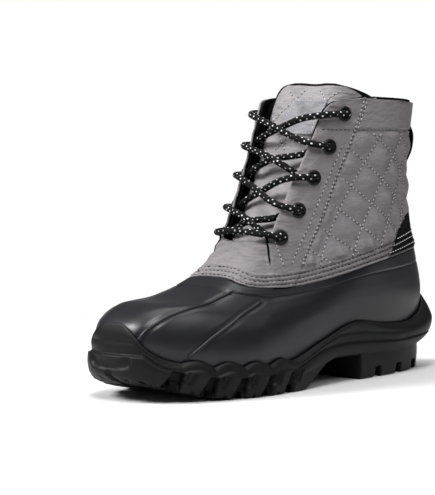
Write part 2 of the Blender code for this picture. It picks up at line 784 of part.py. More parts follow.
def eyelet_mesh():
    """A flanged tube, turned about Z, with its flange's underside at the shaft's outside."""
    depth = SHAFT_OUTER + STAY_RAISE - SHAFT_INNER
    profile = (
        (EYELET_BORE, -depth), (EYELET_BARREL, -depth), (EYELET_BARREL, EYELET_GAP),
        (EYELET_FLANGE, EYELET_GAP), (EYELET_FLANGE - 0.8, EYELET_GAP + EYELET_RISE),
        (EYELET_BORE, EYELET_GAP + EYELET_RISE - 0.2),
    )
    bm = bmesh.new()
    corners = [bm.verts.new((radius, 0.0, z)) for radius, z in profile]
    edges = [bm.edges.new((a, b)) for a, b in zip(corners, corners[1:] + corners[:1])]
    bmesh.ops.spin(
        bm, geom=corners + edges, cent=(0, 0, 0), axis=(0, 0, 1), angle=2 * math.pi,
        steps=EYELET_SEGMENTS, use_merge=True, use_duplicate=False,
    )
    bmesh.ops.remove_doubles(bm, verts=bm.verts, dist=1e-3)
    return bm


def build_eyelets():
    for row in range(len(EYELET_Z)):
        for side, tag in ((1, "lateral"), (-1, "medial")):
            place, normal = eyelet_frame(row, side)
            bm = eyelet_mesh()
            turn = normal.to_track_quat("Z", "Y").to_matrix().to_4x4()
            bmesh.ops.transform(bm, matrix=Matrix.Translation(place) @ turn, verts=bm.verts)
            add_object(f"eyelet_{tag}_{row + 1}", bm, EYELET_BLACK)


# Lace

def lace_point(y, z, out):
    """A point over the last, given by its place across the boot, its height and how far it stands out."""
    if abs(y) < 0.01:
        return on_form(0.0, level_at_height(0.0, z), out)
    return on_form(*place_at(y, z), out)


def lace_solid(name, guides, per_span):
    points = [lace_point(*guide) for guide in smooth_path(guides, per_span)]
    return tube_solid(name, points, LACE_RADIUS, LACE_BLACK)


def lace_bar_guides():
    """Straight across from one bottom eyelet to the other, lying on the front of the shaft."""
    z = EYELET_Z[0]
    reach = throat_half(z) + EYELET_INSET[0]
    return [
        (reach, z, OVER_EYELET), (0.55 * reach, z - LACE_BAR_SAG, OVER_FLAP), (0.0, z - LACE_BAR_SAG, OVER_FLAP),
        (-0.55 * reach, z - LACE_BAR_SAG, OVER_FLAP), (-reach, z, OVER_EYELET),
    ]


def lace_cross_guides(row, side, rise):
    """From behind one flap at an eyelet row to the other flap's outside at the row above."""
    low = EYELET_Z[row]
    high = EYELET_Z[row + 1]
    start = throat_half(low) + LACE_UNDER_REACH
    leave = throat_half(low) - LACE_EDGE
    land = throat_half(high) - LACE_EDGE
    end = throat_half(high) + EYELET_INSET[row + 1]
    return [
        (side * start, lerp(low, high, 0.16), UNDER_FLAP),
        (side * leave, lerp(low, high, 0.28), UNDER_FLAP),
        (0.0, lerp(low, high, 0.60), LACE_MIDDLE + rise),
        (-side * land, lerp(low, high, 0.90), OVER_FLAP),
        (-side * end, high, OVER_EYELET),
    ]


def build_lace():
    lace_solid("lace_bar", lace_bar_guides(), 3)
    for row in range(len(EYELET_Z) - 1):
        upper = lace_solid(f"lace_cross_{row + 1}", lace_cross_guides(row, 1, LACE_CROSS_RISE), 2)
        lower = lace_solid(f"lace_under_{row + 1}", lace_cross_guides(row, -1, -LACE_CROSS_RISE), 2)
        combine(upper, lower, "UNION")


# The boot, with the middle of its box on the floor at the origin

def centre_on_floor():
    points = [point for loop in sole_loops() for point in loop]
    middle_s = 0.5 * (min(p.x for p in points) + max(p.x for p in points))
    middle_y = 0.5 * (min(p.y for p in points) + max(p.y for p in points))
    root.location = (-middle_s * MM, -middle_y * MM, 0.0)


build_outsole()
build_insole()
build_shell()
build_shaft()
build_tongue()
build_heel_patch()
build_pull_loop()
build_eyelets()
build_lace()
centre_on_floor()
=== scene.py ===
# %% [markdown]
# # Dressing a winter boot
#
# The boot's plain solids come first: a lugged outsole, a rubber shell, a fabric shaft, a tongue, an
# insole, eyelets and a lace. This lesson puts the looks over them: quilting, seams, stitches, moulded
# lugs, a braided lace and the materials. Each step says what the piece is on a real boot and why it is
# made the way it is.

# %% Load the solids
import math
from collections import namedtuple

import bmesh
import bpy
import numpy as np
from mathutils import Matrix, Vector


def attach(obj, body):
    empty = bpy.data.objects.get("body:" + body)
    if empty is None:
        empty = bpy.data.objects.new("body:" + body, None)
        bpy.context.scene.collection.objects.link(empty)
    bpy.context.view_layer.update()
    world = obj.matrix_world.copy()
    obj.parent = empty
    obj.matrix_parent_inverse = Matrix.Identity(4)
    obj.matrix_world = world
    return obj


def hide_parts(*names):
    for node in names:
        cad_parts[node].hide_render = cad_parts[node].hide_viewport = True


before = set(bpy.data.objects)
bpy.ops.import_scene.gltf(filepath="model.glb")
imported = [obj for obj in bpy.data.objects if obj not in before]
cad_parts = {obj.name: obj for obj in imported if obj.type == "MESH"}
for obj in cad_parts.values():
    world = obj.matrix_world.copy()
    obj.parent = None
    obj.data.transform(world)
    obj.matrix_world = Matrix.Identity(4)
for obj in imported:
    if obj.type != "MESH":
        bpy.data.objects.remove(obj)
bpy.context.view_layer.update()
print("solids loaded:", len(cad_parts))

# %% [markdown]
# ## The last
#
# A boot is made over a last, a wooden or plastic foot. Every soft piece follows that one form, so the
# form comes first. It could be sculpted, but then the seams would have nothing to be measured on. Here it
# is a table of ten loops from the sole's edge to the collar, with a smooth surface through them: an angle
# goes round the foot (0 at the toe, 90 degrees on the outer side) and a level counts the loops upwards.
# Sizes are in millimetres from the back of the heel.

# %% The last's table
MM = 0.001
BOX_MIDDLE = np.array([145.25, -1.1714, 0.0])
Section = namedtuple(
    "Section",
    "name heel toe w_heel w_waist w_ball z_heel z_waist z_ball z_toe round_heel round_toe swing",
)
LAST = (
    Section("feather", 15.0, 282.0, 32.0, 34.0, 46.5, 27.0, 23.0, 16.0, 26.0, 0.58, 0.62, 1.0),
    Section("side", 11.0, 285.5, 35.5, 37.5, 49.0, 40.5, 38.0, 27.5, 38.0, 0.58, 0.62, 1.0),
    Section("shoulder", 10.5, 281.0, 37.5, 39.5, 48.0, 54.0, 51.0, 40.0, 49.5, 0.58, 0.60, 1.0),
    Section("toe_box", 12.0, 266.0, 38.0, 40.0, 44.5, 64.0, 59.5, 50.0, 59.0, 0.60, 0.55, 0.9),
    Section("vamp", 15.5, 238.0, 37.5, 40.0, 41.0, 74.0, 67.5, 57.0, 61.5, 0.60, 0.50, 0.7),
    Section("rim", 19.0, 205.0, 36.5, 40.0, 37.5, 85.0, 78.5, 66.5, 73.0, 0.62, 0.45, 0.5),
    Section("instep", 22.5, 180.5, 34.5, 40.5, 33.5, 100.0, 97.5, 93.5, 96.0, 0.74, 0.50, 0.2),
    Section("ankle", 24.5, 159.0, 33.0, 40.5, 36.0, 129.0, 127.0, 127.0, 127.0, 0.90, 0.42, 0.0),
    Section("calf", 23.0, 144.5, 34.0, 41.0, 37.5, 157.0, 157.0, 157.0, 157.0, 1.00, 0.38, 0.0),
    Section("collar", 20.0, 133.0, 35.0, 41.0, 38.5, 182.0, 184.5, 187.0, 189.0, 1.05, 0.36, 0.0),
)
RIM = 5.0
WIDTH_KNOTS = (0.13, 0.42, 0.72)
HEIGHT_KNOTS = (0.0, 0.36, 0.80, 1.0)
AXIS_S = (0.0, 110.0, 190.0, 290.0)
AXIS_Y = (0.0, 2.5, 0.0, -8.0)


def lerp(low, high, share):
    return low + (high - low) * share


def smooth(low, high, value):
    share = np.clip((value - low) / (high - low), 0.0, 1.0)
    return share * share * (3 - 2 * share)


def bell(distance, width):
    return np.exp(-((distance / width) ** 2))


def curve_through(knots, values, at):
    """A smooth curve through values at the knots, held level outside them."""
    knots = np.asarray(knots, float)
    values = np.asarray(values, float)
    at = np.clip(at, knots[0], knots[-1])
    slope = np.empty_like(values)
    slope[0] = (values[1] - values[0]) / (knots[1] - knots[0])
    slope[-1] = (values[-1] - values[-2]) / (knots[-1] - knots[-2])
    slope[1:-1] = (values[2:] - values[:-2]) / (knots[2:] - knots[:-2])
    k = np.clip(np.searchsorted(knots, at, side="right") - 1, 0, len(knots) - 2)
    span = knots[k + 1] - knots[k]
    f = (at - knots[k]) / span
    start = (2 * f**3 - 3 * f**2 + 1) * values[k] + (f**3 - 2 * f**2 + f) * span * slope[k]
    return start + (3 * f**2 - 2 * f**3) * values[k + 1] + (f**3 - f**2) * span * slope[k + 1]


def section_points(section, angle):
    share = 0.5 * (1 + np.cos(angle))
    s = lerp(section.heel, section.toe, share)
    half = curve_through(WIDTH_KNOTS, (section.w_heel, section.w_waist, section.w_ball), share)
    blunt = lerp(section.round_heel, section.round_toe, share)
    sine = np.sin(angle)
    y = section.swing * curve_through(AXIS_S, AXIS_Y, s) + half * np.sign(sine) * np.abs(sine) ** blunt
    heights = (section.z_heel, section.z_waist, section.z_ball, section.z_toe)
    return np.stack([s, y, curve_through(HEIGHT_KNOTS, heights, share)], axis=-1)


def form(angle, level):
    """Points of the last, as a smooth surface through the loops."""
    angle, level = np.broadcast_arrays(np.asarray(angle, float), np.asarray(level, float))
    rings = np.stack([section_points(section, angle) for section in LAST])
    before = 2 * rings[:1] - rings[1:2]
    after = 2 * rings[-1:] - rings[-2:-1]
    rings = np.concatenate([before, rings, after])
    k = np.clip(np.floor(level).astype(int), 0, len(LAST) - 2)
    f = (level - k)[..., None]
    pick = [np.take_along_axis(rings, (k + i)[None, ..., None], axis=0)[0] for i in range(4)]
    square = 2 * pick[0] - 5 * pick[1] + 4 * pick[2] - pick[3]
    cube = 3 * pick[1] - pick[0] - 3 * pick[2] + pick[3]
    return 0.5 * (2 * pick[1] + (pick[2] - pick[0]) * f + square * f**2 + cube * f**3)


def unit(vectors):
    return vectors / np.linalg.norm(vectors, axis=-1, keepdims=True)


def form_normal(angle, level, step=0.02):
    around = form(angle + step, level) - form(angle - step, level)
    upward = form(angle, level + step) - form(angle, level - step)
    return unit(np.cross(around, upward))


def on_form(angle, level, out):
    return form(angle, level) + form_normal(angle, level) * np.asarray(out)[..., None]


def to_world(points):
    return (points - BOX_MIDDLE) * MM


print("last:", len(LAST), "loops, toe at", LAST[1].toe, "mm")

# %% [markdown]
# ## Finding places on the last
#
# A seam is known by where it runs: so high, so wide across the front. The functions here turn such
# measures back into an angle and a level. A formula for that would be long, so they halve an interval
# until it is small.

# %% Places on the last
def halve(is_below, low, high, rounds=30):
    for _ in range(rounds):
        middle = 0.5 * (low + high)
        below = is_below(middle)
        low = np.where(below, middle, low)
        high = np.where(below, high, middle)
    return 0.5 * (low + high)


def turned(angle):
    """An angle brought between minus and plus half a turn."""
    return np.arctan2(np.sin(angle), np.cos(angle))


def level_at_height(angle, z, low=0.0, high=9.6):
    return halve(lambda level: form(angle, level)[..., 2] < z, low, high)


def angle_at_width(level, y):
    side = np.sign(y)
    return side * halve(lambda a: np.abs(form(side * a, level)[..., 1]) < np.abs(y), 0.0, 0.5 * math.pi)


def place_at(y, z):
    """Angle and level on the front of the last, from a place across and a height."""
    angle = np.sign(y) * 0.6
    level = level_at_height(angle, z)
    for _ in range(8):
        angle = angle_at_width(level, y)
        level = level_at_height(angle, z)
    return angle, level


print("heel 100 mm up: level", round(float(level_at_height(np.array([math.pi]), 100.0)[0]), 2))

# %% [markdown]
# ## Distances round the leg
#
# Quilting lines and seams are known by how far they lie round the leg from the back. Measuring that
# distance again for each point would be slow, so it is measured once on a fine grid, and a table gives
# the lengths in between. The same table read backwards keeps a grid's columns even.

# %% Distances round the leg
ARC_LEVELS = np.linspace(4.6, 9.6, 51)
ARC_ANGLES = np.linspace(math.pi, 0.0, 361)
arc_rings = form(ARC_ANGLES[None, :], ARC_LEVELS[:, None])
ARC_TABLE = np.zeros(arc_rings.shape[:2])
ARC_TABLE[:, 1:] = np.cumsum(np.linalg.norm(np.diff(arc_rings, axis=1), axis=2), axis=1)


def from_table(table, row_at, column_at):
    """Values between the entries of a table, by two straight blends."""
    row = np.clip(row_at, 0, table.shape[0] - 1)
    column = np.clip(column_at, 0, table.shape[1] - 1)
    i = np.minimum(row.astype(int), table.shape[0] - 2)
    k = np.minimum(column.astype(int), table.shape[1] - 2)
    left = lerp(table[i, k], table[i + 1, k], row - i)
    right = lerp(table[i, k + 1], table[i + 1, k + 1], row - i)
    return lerp(left, right, column - k)


def arc_row(level):
    return (np.asarray(level, float) - ARC_LEVELS[0]) / (ARC_LEVELS[1] - ARC_LEVELS[0])


def arc_from_back(angle, level):
    column = (math.pi - np.abs(turned(angle))) / math.pi * (len(ARC_ANGLES) - 1)
    return from_table(ARC_TABLE, arc_row(level), column)


SHARES = np.linspace(0.0, 1.0, 241)
ANGLE_TABLE = np.array([np.interp(SHARES, row / row[-1], ARC_ANGLES) for row in ARC_TABLE])


def angle_at_share(share, level):
    """The angle at a share of the way round from the back (0) to the front (1 or -1)."""
    angle = from_table(ANGLE_TABLE, arc_row(level), np.abs(share) * (len(SHARES) - 1))
    return np.where(share < 0, -angle, angle)


def angle_at_arc(arc, level):
    whole = arc_from_back(np.zeros_like(np.asarray(level, float)), level)
    return angle_at_share(np.asarray(arc) / whole, level)


def place_at_arc(arc, z):
    """Angle and level from a distance round the leg and a height."""
    level = level_at_height(np.full_like(z, 1.5), z)
    for _ in range(6):
        angle = angle_at_arc(arc, level)
        level = level_at_height(angle, z)
    return angle, level


print("round the collar:", round(2 * float(arc_from_back(np.zeros(1), len(LAST) - 1)[0])), "mm")

# %% [markdown]
# ## The rubber's rim
#
# The shell ends at a rim, and the shaft's hem is measured up from it. The rim could be one of the last's
# loops, but on this boot it dips beside the toe, so a small bell is taken off the loop's level there.

# %% The rim
RIM_DIP = 0.2
RIM_DIP_AT = 27.0
RIM_DIP_WIDTH = 18.0


def rim_level(angle):
    degrees = np.abs(np.degrees(turned(angle)))
    return RIM - RIM_DIP * bell(degrees - RIM_DIP_AT, RIM_DIP_WIDTH)


def above_rim(angle, level):
    """Distance up the surface from the shell's rim, below it as a negative number."""
    rim = rim_level(angle)
    length = np.linalg.norm(form(angle, level) - form(angle, rim), axis=-1)
    return np.where(level < rim, -length, length)


def level_above_rim(angle, distance):
    rim = rim_level(angle)
    return halve(lambda level: above_rim(angle, level) < distance, rim, rim + 1.5)


print("lowest level of the rim:", round(float(rim_level(np.radians(RIM_DIP_AT))), 2))

# %% [markdown]
# ## Making pieces from grids
#
# Most pieces are a flat grid carried onto the form, the way cloth is pulled over a last. The grid comes
# from create_grid, a function puts each of its points in place, doubled points are merged where the grid
# closes on itself, and the normals are turned outwards. The flat coordinates stay on the piece as a UV
# map in metres, so a weave or a braid can follow the cloth.

# %% Grid helpers
def mapped_grid(columns, rows, place, cloth=None):
    bm = bmesh.new()
    bmesh.ops.create_grid(bm, x_segments=columns, y_segments=rows, size=0.5)
    square = np.array([vert.co[:2] for vert in bm.verts]) + 0.5
    u, v = square[:, 0], square[:, 1]
    for vert, point in zip(bm.verts, to_world(place(u, v))):
        vert.co = point
    if cloth is not None:
        flat = cloth(u, v) * MM
        layer = bm.loops.layers.uv.new("cloth")
        bm.verts.index_update()
        for face in bm.faces:
            for loop in face.loops:
                loop[layer].uv = flat[loop.vert.index]
    return bm


def add_piece(name, bm, materials, nodes=(), merge=1e-5, recalculate=True):
    bmesh.ops.remove_doubles(bm, verts=bm.verts, dist=merge)
    if recalculate:
        bmesh.ops.recalc_face_normals(bm, faces=bm.faces)
    mesh = bpy.data.meshes.new(name)
    bm.to_mesh(mesh)
    bm.free()
    mesh.shade_smooth()
    for material in materials:
        mesh.materials.append(material)
    piece = bpy.data.objects.new(name, mesh)
    bpy.context.scene.collection.objects.link(piece)
    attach(piece, "root")
    if nodes:
        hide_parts(*nodes)
    print(name, "has", len(mesh.polygons), "faces")
    return piece


def thicken(piece, thickness, offset):
    wall = piece.modifiers.new("wall", "SOLIDIFY")
    wall.thickness = thickness * MM
    wall.offset = offset
    wall.use_even_offset = False


# %% [markdown]
# ## Camera
#
# The camera stands where the photographer stood: on the toe's outer side, a little above the collar, far
# away with a long lens so that the boot hardly tapers. A short lens close by would be easier to set up,
# but it would make the toe look too large.

# %% Camera
CAMERA_PLACE = np.array([1259.4, 1008.1, 195.0])
CAMERA_AHEAD = (-0.7242, -0.6896)
CAMERA_PITCH = math.radians(4.05)
camera_data = bpy.data.cameras.new("camera")
camera_data.lens = 166.4
camera_data.sensor_width = 36.0
camera_data.clip_end = 20.0
camera = bpy.data.objects.new("camera", camera_data)
bpy.context.scene.collection.objects.link(camera)
ahead = Vector((CAMERA_AHEAD[0], CAMERA_AHEAD[1], -math.tan(CAMERA_PITCH)))
camera.location = to_world(CAMERA_PLACE)
camera.rotation_euler = ahead.to_track_quat("-Z", "Y").to_euler()
bpy.context.scene.camera = camera
bpy.context.scene.view_settings.view_transform = "Standard"
print("camera at", [round(value, 3) for value in camera.location])

# %% [markdown]
# ## Room
#
# The room is dark grey with one white backdrop behind the boot. Plain white all round would be simpler,
# but dark rubber mirrors the walls and would turn pale in it. The backdrop is the part of the world that
# lies ahead of the camera, and it fades into the dark upwards.

# %% Room
BACKDROP_LIGHT = 1.0
SIDE_LIGHT = 0.16
SKY_LIGHT = 0.14
BACKDROP_SPREAD = (0.90, 0.97)
SKY_FADE = (0.05, 0.10)
world = bpy.data.worlds.new("room")
bpy.context.scene.world = world
world.use_nodes = True
room = world.node_tree
room.nodes["Background"].inputs["Color"].default_value = (1.0, 1.0, 1.0, 1.0)
direction = room.nodes.new("ShaderNodeTexCoord")
split = room.nodes.new("ShaderNodeSeparateXYZ")
facing = room.nodes.new("ShaderNodeVectorMath")
facing.operation = "DOT_PRODUCT"
facing.inputs[1].default_value = (CAMERA_AHEAD[0], CAMERA_AHEAD[1], 0.0)
backdrop = room.nodes.new("ShaderNodeMapRange")
backdrop.inputs["From Min"].default_value = BACKDROP_SPREAD[0]
backdrop.inputs["From Max"].default_value = BACKDROP_SPREAD[1]
backdrop.inputs["To Min"].default_value = SIDE_LIGHT
backdrop.inputs["To Max"].default_value = BACKDROP_LIGHT
fade = room.nodes.new("ShaderNodeMapRange")
fade.inputs["From Min"].default_value = SKY_FADE[0]
fade.inputs["From Max"].default_value = SKY_FADE[1]
fade.inputs["To Max"].default_value = SKY_LIGHT
room.links.new(direction.outputs["Generated"], split.inputs["Vector"])
room.links.new(direction.outputs["Generated"], facing.inputs[0])
room.links.new(facing.outputs["Value"], backdrop.inputs["Value"])
room.links.new(backdrop.outputs["Result"], fade.inputs["To Min"])
room.links.new(split.outputs["Z"], fade.inputs["Value"])
room.links.new(fade.outputs["Result"], room.nodes["Background"].inputs["Strength"])
print("room:", len(room.nodes), "nodes")

# %% [markdown]
# ## Lights
#
# A very large soft light overhead brightens the floor, a smaller one from the toe's inner side puts the
# highlight on the toe, one from the front rakes across the quilting, and a weak one from the outer side
# puts the sheen between the raised seams. One lamp in a bright room would give as much light, but it
# would leave the quilting flat.

# %% Lights
def add_light(name, place, aim, size, power):
    data = bpy.data.lights.new(name, "AREA")
    data.shape = "RECTANGLE"
    data.size = size[0]
    data.size_y = size[1]
    data.energy = power
    light = bpy.data.objects.new(name, data)
    light.location = place
    light.rotation_euler = (Vector(aim) - Vector(place)).to_track_quat("-Z", "Y").to_euler()
    bpy.context.scene.collection.objects.link(light)


add_light("overhead", (-0.2, 0.1, 2.6), (0.0, 0.0, 0.0), (2.2, 2.2), 54.0)
add_light("toe_side", (1.15, -0.78, 1.19), (0.05, 0.0, 0.08), (0.7, 0.55), 42.0)
add_light("outer_front", (0.72, 0.50, 1.40), (0.0, 0.0, 0.08), (0.45, 0.45), 15.0)
add_light("outer_side", (-0.15, 1.20, 1.20), (0.0, 0.0, 0.06), (0.7, 0.45), 6.0)

# %% [markdown]
# ## Floor
#
# The floor carries the boot's soft shadow. An endless plane would be simpler, but its far side would show
# pale in the rubber. So it is a disc, just large enough for the shadow.

# %% Floor
FLOOR_RADIUS = 0.46
FLOOR_GREY = 0.60
floor_bm = bmesh.new()
bmesh.ops.create_circle(floor_bm, cap_ends=True, segments=128, radius=FLOOR_RADIUS)
floor_mesh = bpy.data.meshes.new("floor")
floor_bm.to_mesh(floor_mesh)
floor_bm.free()
floor = bpy.data.objects.new("floor", floor_mesh)
bpy.context.scene.collection.objects.link(floor)
floor_paint = bpy.data.materials.new("floor_paint")
floor_paint.use_nodes = True
floor_shader = floor_paint.node_tree.nodes["Principled BSDF"]
floor_shader.inputs["Base Color"].default_value = (FLOOR_GREY, FLOOR_GREY, FLOOR_GREY, 1.0)
floor_shader.inputs["Roughness"].default_value = 0.9
floor_mesh.materials.append(floor_paint)
print("floor:", 2 * FLOOR_RADIUS, "m across")

# %% [markdown]
# ## Materials
#
# A flat colour never looks like rubber or cloth. Each material here starts from its colour in the photo
# and gets two things from noise: slow changes of colour, and a fine bump. The cloth also has a weave,
# two sets of bands across each other on the piece's own UV map, and slubs, noise stretched along the
# thread. All of it is worked out by nodes, so it needs no pictures.

# %% Material helpers
class Finish:
    """A Principled material that grows by named steps."""

    def __init__(self, name, colour, roughness, specular=0.5):
        self.material = bpy.data.materials.new(name)
        self.material.use_nodes = True
        self.nodes = self.material.node_tree.nodes
        self.links = self.material.node_tree.links
        self.shader = self.nodes["Principled BSDF"]
        self.colour = colour
        self.shader.inputs["Base Color"].default_value = (*colour, 1.0)
        self.shader.inputs["Roughness"].default_value = roughness
        self.shader.inputs["Specular IOR Level"].default_value = specular
        self.height = None

    def coordinates(self, kind, scale, turn=0.0):
        source = self.nodes.new("ShaderNodeTexCoord" if kind == "Object" else "ShaderNodeUVMap")
        mapping = self.nodes.new("ShaderNodeMapping")
        mapping.inputs["Scale"].default_value = scale
        mapping.inputs["Rotation"].default_value = (0.0, 0.0, turn)
        if kind == "Object":
            self.links.new(source.outputs["Object"], mapping.inputs["Vector"])
        else:
            source.uv_map = kind
            self.links.new(source.outputs["UV"], mapping.inputs["Vector"])
        return mapping.outputs["Vector"]

    def noise(self, kind, scale, detail=3.0):
        node = self.nodes.new("ShaderNodeTexNoise")
        node.inputs["Scale"].default_value = 1.0
        node.inputs["Detail"].default_value = detail
        self.links.new(self.coordinates(kind, scale), node.inputs["Vector"])
        return node.outputs["Fac"]

    def bands(self, kind, scale, direction):
        node = self.nodes.new("ShaderNodeTexWave")
        node.bands_direction = direction
        node.inputs["Scale"].default_value = 1.0
        node.inputs["Distortion"].default_value = 0.0
        self.links.new(self.coordinates(kind, scale), node.inputs["Vector"])
        return node.outputs["Fac"]

    def tint(self, factor, dark, light):
        """Blend the colour between a darker and a lighter one."""
        ramp = self.nodes.new("ShaderNodeValToRGB")
        ramp.color_ramp.elements[0].position = 0.3
        ramp.color_ramp.elements[1].position = 0.7
        ramp.color_ramp.elements[0].color = (*[channel * dark for channel in self.colour], 1.0)
        ramp.color_ramp.elements[1].color = (*[channel * light for channel in self.colour], 1.0)
        self.links.new(factor, ramp.inputs["Fac"])
        self.links.new(ramp.outputs["Color"], self.shader.inputs["Base Color"])
        return self

    def bump(self, factor, strength, depth):
        node = self.nodes.new("ShaderNodeBump")
        node.inputs["Strength"].default_value = strength
        node.inputs["Distance"].default_value = depth * MM
        self.links.new(factor, node.inputs["Height"])
        if self.height is not None:
            self.links.new(self.height, node.inputs["Normal"])
        self.height = node.outputs["Normal"]
        self.links.new(self.height, self.shader.inputs["Normal"])
        return self

    def vary_roughness(self, factor, low, high):
        node = self.nodes.new("ShaderNodeMapRange")
        node.inputs["To Min"].default_value = low
        node.inputs["To Max"].default_value = high
        self.links.new(factor, node.inputs["Value"])
        self.links.new(node.outputs["Result"], self.shader.inputs["Roughness"])
        return self


def woven(name, colour, roughness, thread, slub_depth, specular):
    """Cloth with a plain weave of the given thread width in millimetres."""
    cloth = Finish(name, colour, roughness, specular)
    turns = math.pi / (10.0 * thread * MM)
    cloth.tint(cloth.noise("cloth", (120.0, 900.0, 1.0), detail=4.0), 0.86, 1.12)
    cloth.bump(cloth.bands("cloth", (turns, turns, turns), "X"), 0.25, 0.10)
    cloth.bump(cloth.bands("cloth", (turns, turns, turns), "Y"), 0.25, 0.10)
    cloth.bump(cloth.noise("cloth", (90.0, 700.0, 1.0), detail=5.0), 0.5, slub_depth)
    cloth.bump(cloth.noise("cloth", (170.0, 260.0, 1.0), detail=6.0), 0.7, 2.4)
    return cloth.material


# %% [markdown]
# ## The boot's materials
#
# The boot has grey and black nylon, two rubbers, enamelled metal and sewing thread. One shared black would
# be simpler, but the shell is satin and mirrors the lights, the sole is matt, and the lining hardly shines
# at all. So each gets its own colour, roughness and grain.

# %% The boot's materials
SHAFT_CLOTH = woven("grey_nylon", (0.188, 0.174, 0.181), 0.5, 0.5, 0.16, 0.25)
TONGUE_CLOTH = woven("pale_grey_nylon", (0.22, 0.208, 0.212), 0.5, 0.5, 0.16, 0.2)
NAP_CLOTH = woven("napped_hem", (0.165, 0.153, 0.158), 0.7, 1.1, 1.1, 0.15)
PALE_CLOTH = woven("pale_patch_nylon", (0.19, 0.187, 0.2), 0.5, 0.35, 0.05, 0.2)
# Also used as painted shadow: the thin tube along each flap's front fold.
BLACK_CLOTH_AND_FOLD_SHADE = woven("black_lining_and_fold_shade", (0.004, 0.004, 0.0043), 0.85, 0.7, 0.25, 0.03)
PATCH_CLOTH = woven("black_heel_cloth", (0.004, 0.004, 0.0043), 0.7, 0.6, 0.15, 0.04)

shell_rubber = Finish("satin_rubber", (0.0085, 0.0085, 0.0112), 0.33, specular=0.32)
shell_rubber.tint(shell_rubber.noise("Object", (18.0, 18.0, 18.0)), 0.88, 1.12)
shell_rubber.bump(shell_rubber.noise("Object", (2600.0, 2600.0, 2600.0), detail=2.0), 0.12, 0.05)
shell_rubber.bump(shell_rubber.noise("Object", (160.0, 160.0, 160.0), detail=2.0), 0.10, 0.12)
shell_rubber.vary_roughness(shell_rubber.noise("Object", (60.0, 60.0, 60.0)), 0.29, 0.39)
SHELL_RUBBER = shell_rubber.material

sole_rubber = Finish("matte_rubber", (0.006, 0.006, 0.0063), 0.5, specular=0.14)
sole_rubber.tint(sole_rubber.noise("Object", (30.0, 30.0, 30.0)), 0.8, 1.2)
sole_rubber.bump(sole_rubber.noise("Object", (1800.0, 1800.0, 1800.0), detail=3.0), 0.25, 0.08)
sole_rubber.vary_roughness(sole_rubber.noise("Object", (80.0, 80.0, 80.0)), 0.4, 0.55)
SOLE_RUBBER = sole_rubber.material

eyelet_paint = Finish("black_enamel", (0.006, 0.006, 0.0065), 0.28, specular=0.25)
eyelet_paint.bump(eyelet_paint.noise("Object", (900.0, 900.0, 900.0)), 0.08, 0.05)
eyelet_paint.vary_roughness(eyelet_paint.noise("Object", (300.0, 300.0, 300.0)), 0.22, 0.4)
EYELET_PAINT = eyelet_paint.material


def thread_material(name, colour):
    thread = Finish(name, colour, 0.6, specular=0.35)
    thread.tint(thread.noise("Object", (700.0, 700.0, 700.0)), 0.8, 1.15)
    thread.bump(thread.noise("Object", (2500.0, 2500.0, 2500.0)), 0.4, 0.1)
    return thread.material


GREY_THREAD = thread_material("grey_thread", (0.47, 0.455, 0.463))
# A near-black used as painted shade: the hem's and the band's stitch rows, and the needle holes between
# stitches.
STITCH_SHADE = thread_material("stitch_shade", (0.030, 0.028, 0.029))
WHITE_THREAD = thread_material("white_thread", (0.55, 0.54, 0.54))

foam = Finish("insole_cloth", (0.030, 0.030, 0.032), 0.9, specular=0.2)
foam.tint(foam.noise("Object", (500.0, 500.0, 500.0), detail=4.0), 0.7, 1.3)
foam.bump(foam.noise("Object", (1400.0, 1400.0, 1400.0)), 0.5, 0.2)
INSOLE_CLOTH = foam.material
print("materials:", len(bpy.data.materials))

# %% [markdown]
# ## Rubber shell
#
# The lower of this boot is one moulding of rubber, thin enough to bend and waterproof up to its rim. The rim
# carries a raised band at the front. It could be a sculpt with a thickness modifier, but the wall has a step
# where the fabric laps over it, so the grid runs up the outside, over the rim and down the inside, and
# closes on itself. Soft troughs beside the raised seams are pressed in.

# %% Shell sizes
SHELL_WALL = 2.5
FLANGE_STEP = 1.9
FLANGE_WALL = 2.0
FLANGE_RISE = 5.0
RIM_TUCK = 0.02
BAND_WIDTH = 10.0
BAND_RAISE = 0.9
BAND_FADE = (112.0, 165.0)
BAND_EDGE = 0.6
BAND_GROOVE = 0.55
BAND_LINE = 0.30
Seam = namedtuple("Seam", "name levels degrees")
RAISED_SEAMS = (
    Seam("toe", (1.05, 1.75, 2.3, 3.2, 4.1, 4.60), (11.0, 15.5, 19.5, 25.5, 22.6, 21.5)),
    Seam("side", (0.60, 1.7, 2.8, 3.9, 4.2), (35.8, 44.0, 50.0, 48.5, 47.5)),
)
SEAM_HALF = 0.95
SEAM_HEIGHT = 0.95
SEAM_STEPS = 90
SEAM_TROUGH = 0.35
SEAM_SWELL = 0.2


def seam_line(seam, side, count):
    level = np.linspace(seam.levels[0], seam.levels[-1], count)
    angle = side * np.radians(curve_through(seam.levels, seam.degrees, level))
    return angle, level


def shell_relief(angle, level, points):
    """How far the outside stands out from the last, in millimetres."""
    below = -above_rim(angle, level)
    fade = smooth(BAND_FADE[0], BAND_FADE[1], points[..., 0])
    band = BAND_RAISE * smooth(BAND_WIDTH + BAND_EDGE, BAND_WIDTH - BAND_EDGE, below)
    groove = BAND_GROOVE * bell(below - BAND_WIDTH - 1.4, 1.0)
    faint_line = BAND_LINE * bell(below - BAND_WIDTH, 0.9) * (1 - fade)
    out = (band - groove) * fade - faint_line
    for seam in RAISED_SEAMS:
        for side in (1, -1):
            line = form(*seam_line(seam, side, 60))
            gaps = points[:, None, :] - line[None, :, :]
            distance = np.sqrt((gaps**2).sum(axis=2).min(axis=1))
            out = out - SEAM_TROUGH * bell(distance - 1.6, 1.1) + SEAM_SWELL * bell(distance, 5.0)
    return out


def shell_rows():
    """Level and wall side of each row of the grid, from the sole's edge up and back down."""
    up = [(share, "outside") for share in np.linspace(0.0, 1.0, 121)]
    over = [(1.0, "step"), (1.05, "step"), (1.1, "step"), (1.1, "flange"), (1.0, "flange")]
    down = [(share, "inside") for share in np.linspace(0.9, 0.0, 12)]
    return up + over + down


